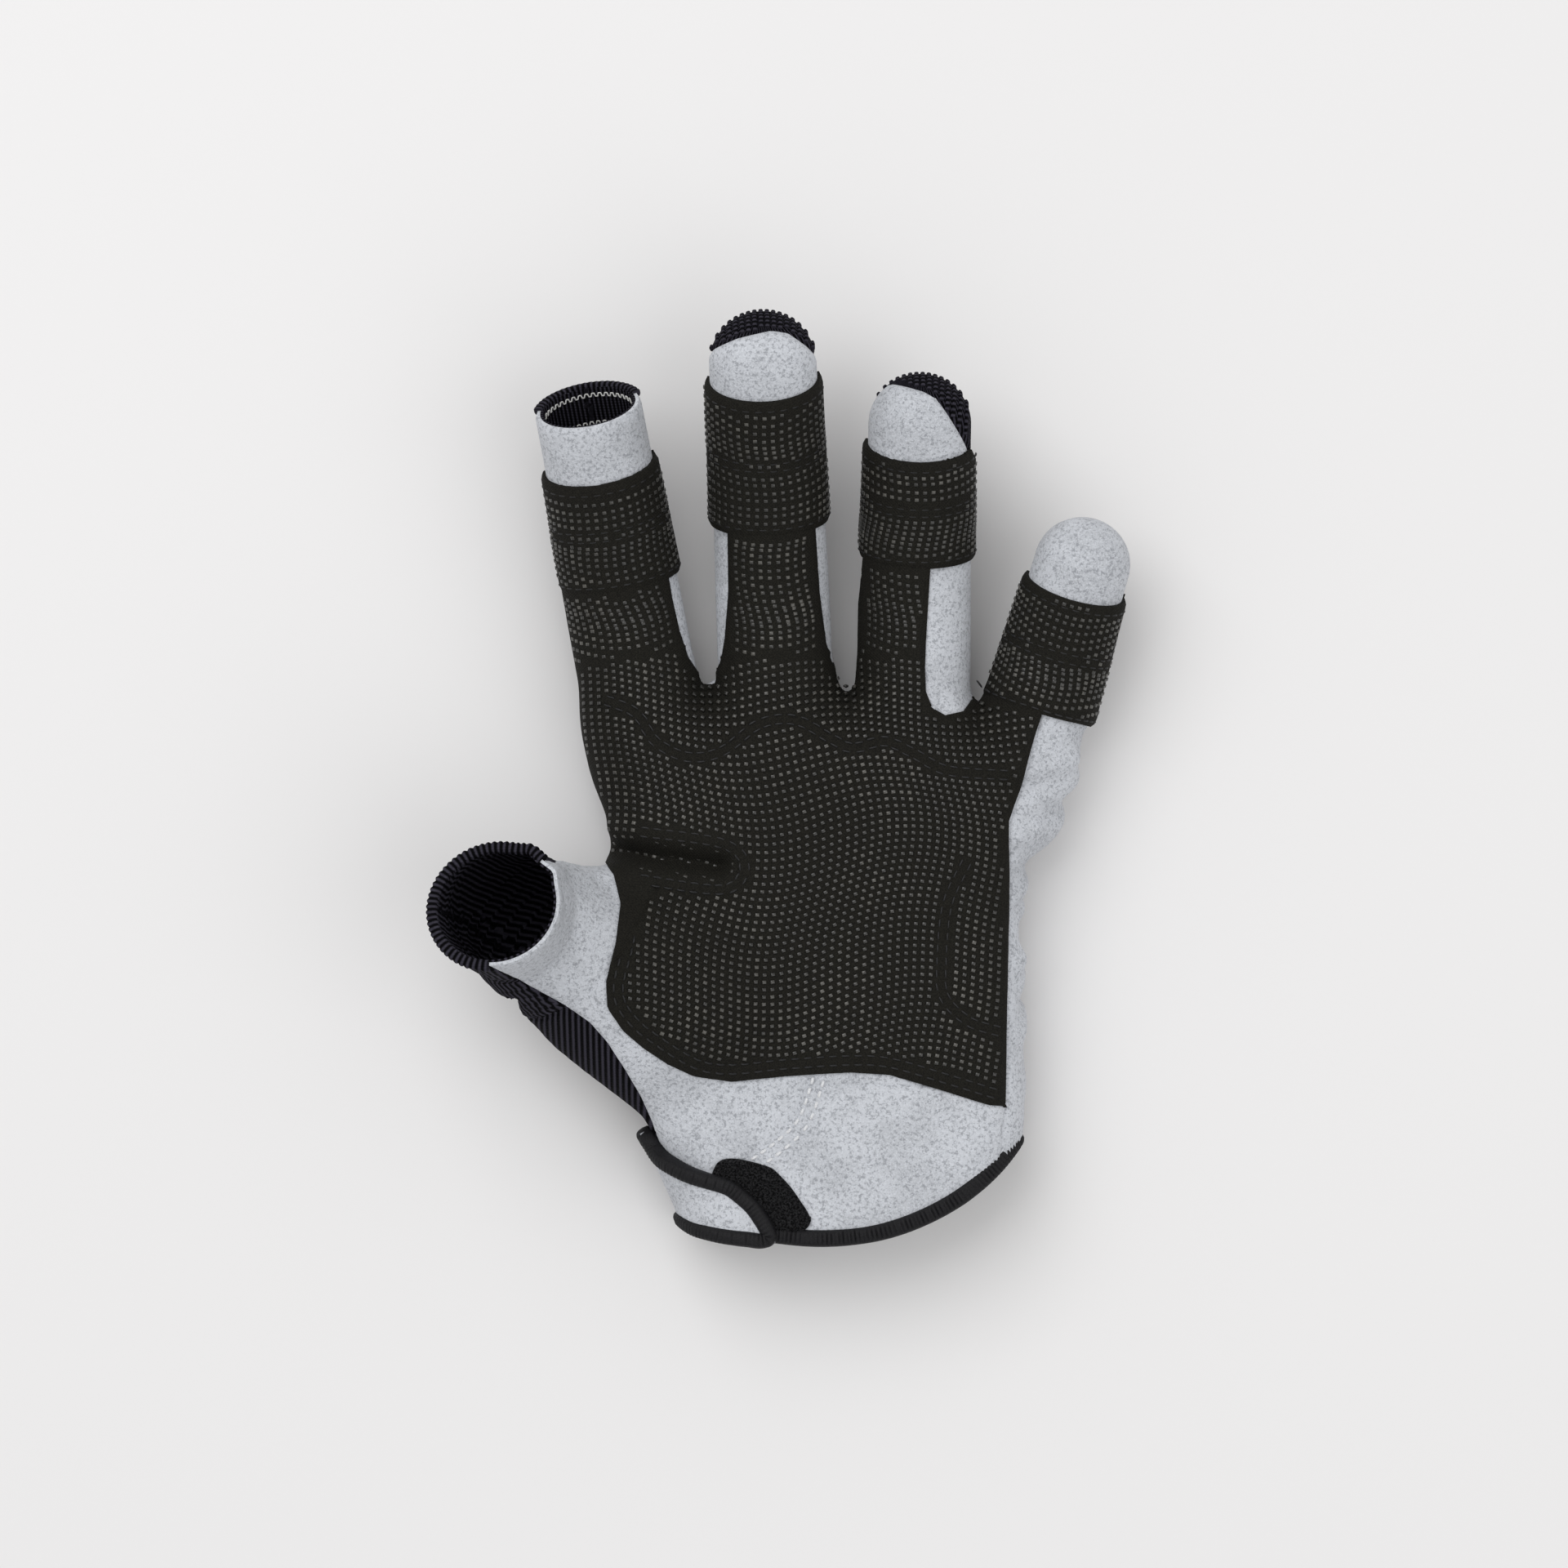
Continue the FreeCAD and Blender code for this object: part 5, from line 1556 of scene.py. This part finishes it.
@dataclass
class WristStrap:
    """Strap that folds from the thumb side on to the palm, with its fastening patches."""

    form: HandForm
    cloth: Cloth
    outline: tuple = ((-62, -54.2), (-43.5, -54.2), (-38.6, -57.0), (-34.8, -62.2), (-28.5, -65.8),
                      (-19.5, -69.3),
                      (-13.5, -74.0), (-9.6, -79.8), (-8.6, -83.2), (-12.2, -85.3), (-19.5, -84.2),
                      (-27.2, -81.6),
                      (-33.5, -76.5), (-42, -73), (-62, -72))
    loop_outline: tuple = ((-23, -65.0), (-12.2, -65.6), (-7.4, -69.2), (-3.8, -74.0), (-1.5, -77.9),
                           (-1.9, -79.8),
                           (-4.4, -81.3), (-12, -81.5), (-24, -78))
    fold_low: float = 9.0
    fold_high: float = 19.0
    tape_low: float = 3.8
    tape: Ribbon = Ribbon(1.85, 1.9, 1.7, rib_depth=0.18)
    pile_height: float = 0.95
    pile_count: int = 2600
    body: Shell = field(init=False)

    def build(self) -> None:
        """Make the strap, its binding and both patches."""
        self.body = self.under(self.on_strap)
        body = self.body.split(self.below_fold).split(self.above_fold)
        settings = {"outer": 2.75, "inner": 1.7, "edge": 0.0}
        root = self.cloth.lay("strap_root", body.keep(self.below_fold), Finish.SUEDE, **settings)
        attach(root, "hand", "strap_anchor")
        fold = body.keep(lambda p: -np.maximum(self.below_fold(p), self.above_fold(p)))
        bend = self.cloth.lay("strap_bend", fold, Finish.SUEDE, **settings)
        self.bend(bend)
        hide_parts("strap_fold")
        face = self.cloth.lay("strap_face", body.keep(self.above_fold), Finish.SUEDE, **settings)
        attach(face, "strap", "strap_tab")
        hook = self.cloth.lay("strap_hook", self.under(self.on_hook), Finish.PILE, 1.65, self.pile_height,
                              edge=0.1)
        attach(hook, "strap", "hook_patch")
        loop = self.cloth.lay("wrist_loop", self.under(self.on_loop), Finish.PILE, 0.92, PATCH_SEAT, edge=0.35)
        attach(loop, "hand", "loop_patch")
        self.fuzz()
        self.binding()

    def under(self, rule: Field) -> Shell:
        """Part of the hand's closed surface where a rule is positive."""
        return self.form.uncut.split(rule).keep(rule)

    def below_fold(self, points: np.ndarray) -> np.ndarray:
        """Positive on the strap's sewn end."""
        return self.fold_low - points[:, 2]

    def above_fold(self, points: np.ndarray) -> np.ndarray:
        """Positive on the strap's free face."""
        return points[:, 2] - self.fold_high

    def bend(self, item: bpy.types.Object) -> None:
        """Bake a piece's transform into its mesh."""
        x, y, z = self.form.joints["strap_open"]["pos_m"]
        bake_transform(item)

    def on_strap(self, points: np.ndarray) -> np.ndarray:
        """Positive under the strap."""
        inside = polygon_distance(np.array(self.outline, float), points[:, :2])
        return np.minimum(inside - 0.6, points[:, 2] - 3.0)

    def on_hook(self, points: np.ndarray) -> np.ndarray:
        """Positive under the fastening patch of the strap."""
        inside = polygon_distance(np.array(self.outline, float), points[:, :2])
        return np.minimum(np.minimum(inside - 2.2, points[:, 2] - 22.0), points[:, 0] + 31.0)

    def on_loop(self, points: np.ndarray) -> np.ndarray:
        """Positive under the fastening patch of the wrist."""
        inside = polygon_distance(curve_through(self.loop_outline, 1.5, True), points[:, :2])
        return np.minimum(inside, points[:, 2] - 18.0)

    def fuzz(self) -> None:
        """Short loops of pile on the wrist's patch."""
        rng = np.random.default_rng(11)
        plan = rng.uniform((-24, -82), (-1, -64), (self.pile_count, 2))
        plan = plan[polygon_distance(np.array(self.loop_outline, float), plan) > 0.25]
        points = self.form.drop(plan, self.pile_height)
        normals = unit(self.form.gradient(points) + rng.normal(0, 0.5, points.shape))
        leads = unit(rng.normal(0, 1, points.shape))
        tuft = Stamp.thread(0.75, 0.13)
        attach(tuft.scatter("wrist_loop_pile", points, leads, normals, Finish.PILE), "hand")

    def binding(self) -> None:
        """Elastic tape round the strap's edge."""
        line = even_loop(max(self.body.loops(), key=len), LOOP_SPACING, 9)
        run = one_run(self.tape_low - line[:, 2])
        path, normals = self.cloth.seated(line[run], 0.0)
        inward = unit(np.cross(normals, np.gradient(path, axis=0)))
        centre = path.mean(0)
        inward *= np.sign((inward * (centre - path)).sum())
        path, normals = self.cloth.seated(path + inward * 1.2, 1.75)
        item = self.tape.sweep("strap_tape", path, normals, Finish.TAPE)
        self.bend(item)
        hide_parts("strap_binding")


class Studio:
    """Floor, lights and camera."""

    view_width = 364.8
    view_centre = (-7.6, 22.8)
    distance = 1475.0
    palm_height = 24.0
    floor_colour = (0.795, 0.788, 0.788)
    surround = 0.62
    lamps = (("key", (-0.5, 0.7, 1.3), 11.0, 1.2), ("fill", (0.8, -0.4, 1.2), 5.0, 1.4))

    def build(self) -> None:
        """Make the stage around the glove."""
        self.floor()
        self.lights()
        self.camera()

    def floor(self) -> None:
        """Plain pale floor that keeps the glove's shadow."""
        bpy.ops.mesh.primitive_plane_add(size=6.0, location=(0, 0, -0.0005))
        item = bpy.context.object
        item.name = "floor"
        tree = Tree("floor_paper")
        item.data.materials.append(tree.finish(self.floor_colour, 0.9, specular_ior_level=0.1))

    def lights(self) -> None:
        """Broad soft light from above and a weak even surround."""
        world = bpy.data.worlds.new("surround")
        bpy.context.scene.world = world
        world.use_nodes = True
        back = world.node_tree.nodes["Background"]
        back.inputs[0].default_value = (1.0, 1.0, 1.0, 1.0)
        back.inputs[1].default_value = self.surround
        for name, spot, power, size in self.lamps:
            lamp = bpy.data.lights.new(name, "AREA")
            lamp.energy = power
            lamp.size = size
            item = bpy.data.objects.new(name, lamp)
            item.location = spot
            direction = -item.location
            item.rotation_euler = direction.to_track_quat("-Z", "Y").to_euler()
            bpy.context.collection.objects.link(item)

    def camera(self) -> None:
        """Camera straight above the palm."""
        data = bpy.data.cameras.new("camera")
        data.sensor_width = 36.0
        data.lens = data.sensor_width * self.distance / self.view_width
        data.clip_end = 10.0
        item = bpy.data.objects.new("camera", data)
        x, y = self.view_centre
        item.location = (x * MM, y * MM, (self.distance + self.palm_height) * MM)
        bpy.context.collection.objects.link(item)
        bpy.context.scene.camera = item
        bpy.context.scene.view_settings.view_transform = "Standard"


def main() -> None:
    """Build the glove and its stage, and report each piece."""
    logging.basicConfig(level=logging.INFO, format="%(message)s")
    Studio().build()
    form = HandForm()
    cloth = Cloth(form)
    HandPanels(form, cloth).build()
    rows = zip(form.fingers, (
        ((-48.5, 66.9), (-55.0, 91.5), None), ((-10.8, 80.2), (-13.4, 110.4), MIDDLE_CAP),
        ((23.0, 72.8), (23.0, 97.0), RING_CAP), ((49.3, 39.2), (56.8, 66.2), None)))
    for tube, (low, high, cap) in rows:
        FingerPanels(form, cloth, tube, low, high, cap).build()
    ThumbPanels(form, cloth, form.thumb, fold=10.5, lining_and_shade_depth=24.0, rim_sink=0.7, rim_back=0.5).build()
    WristStrap(form, cloth).build()


if __name__ == "__main__":
    main()
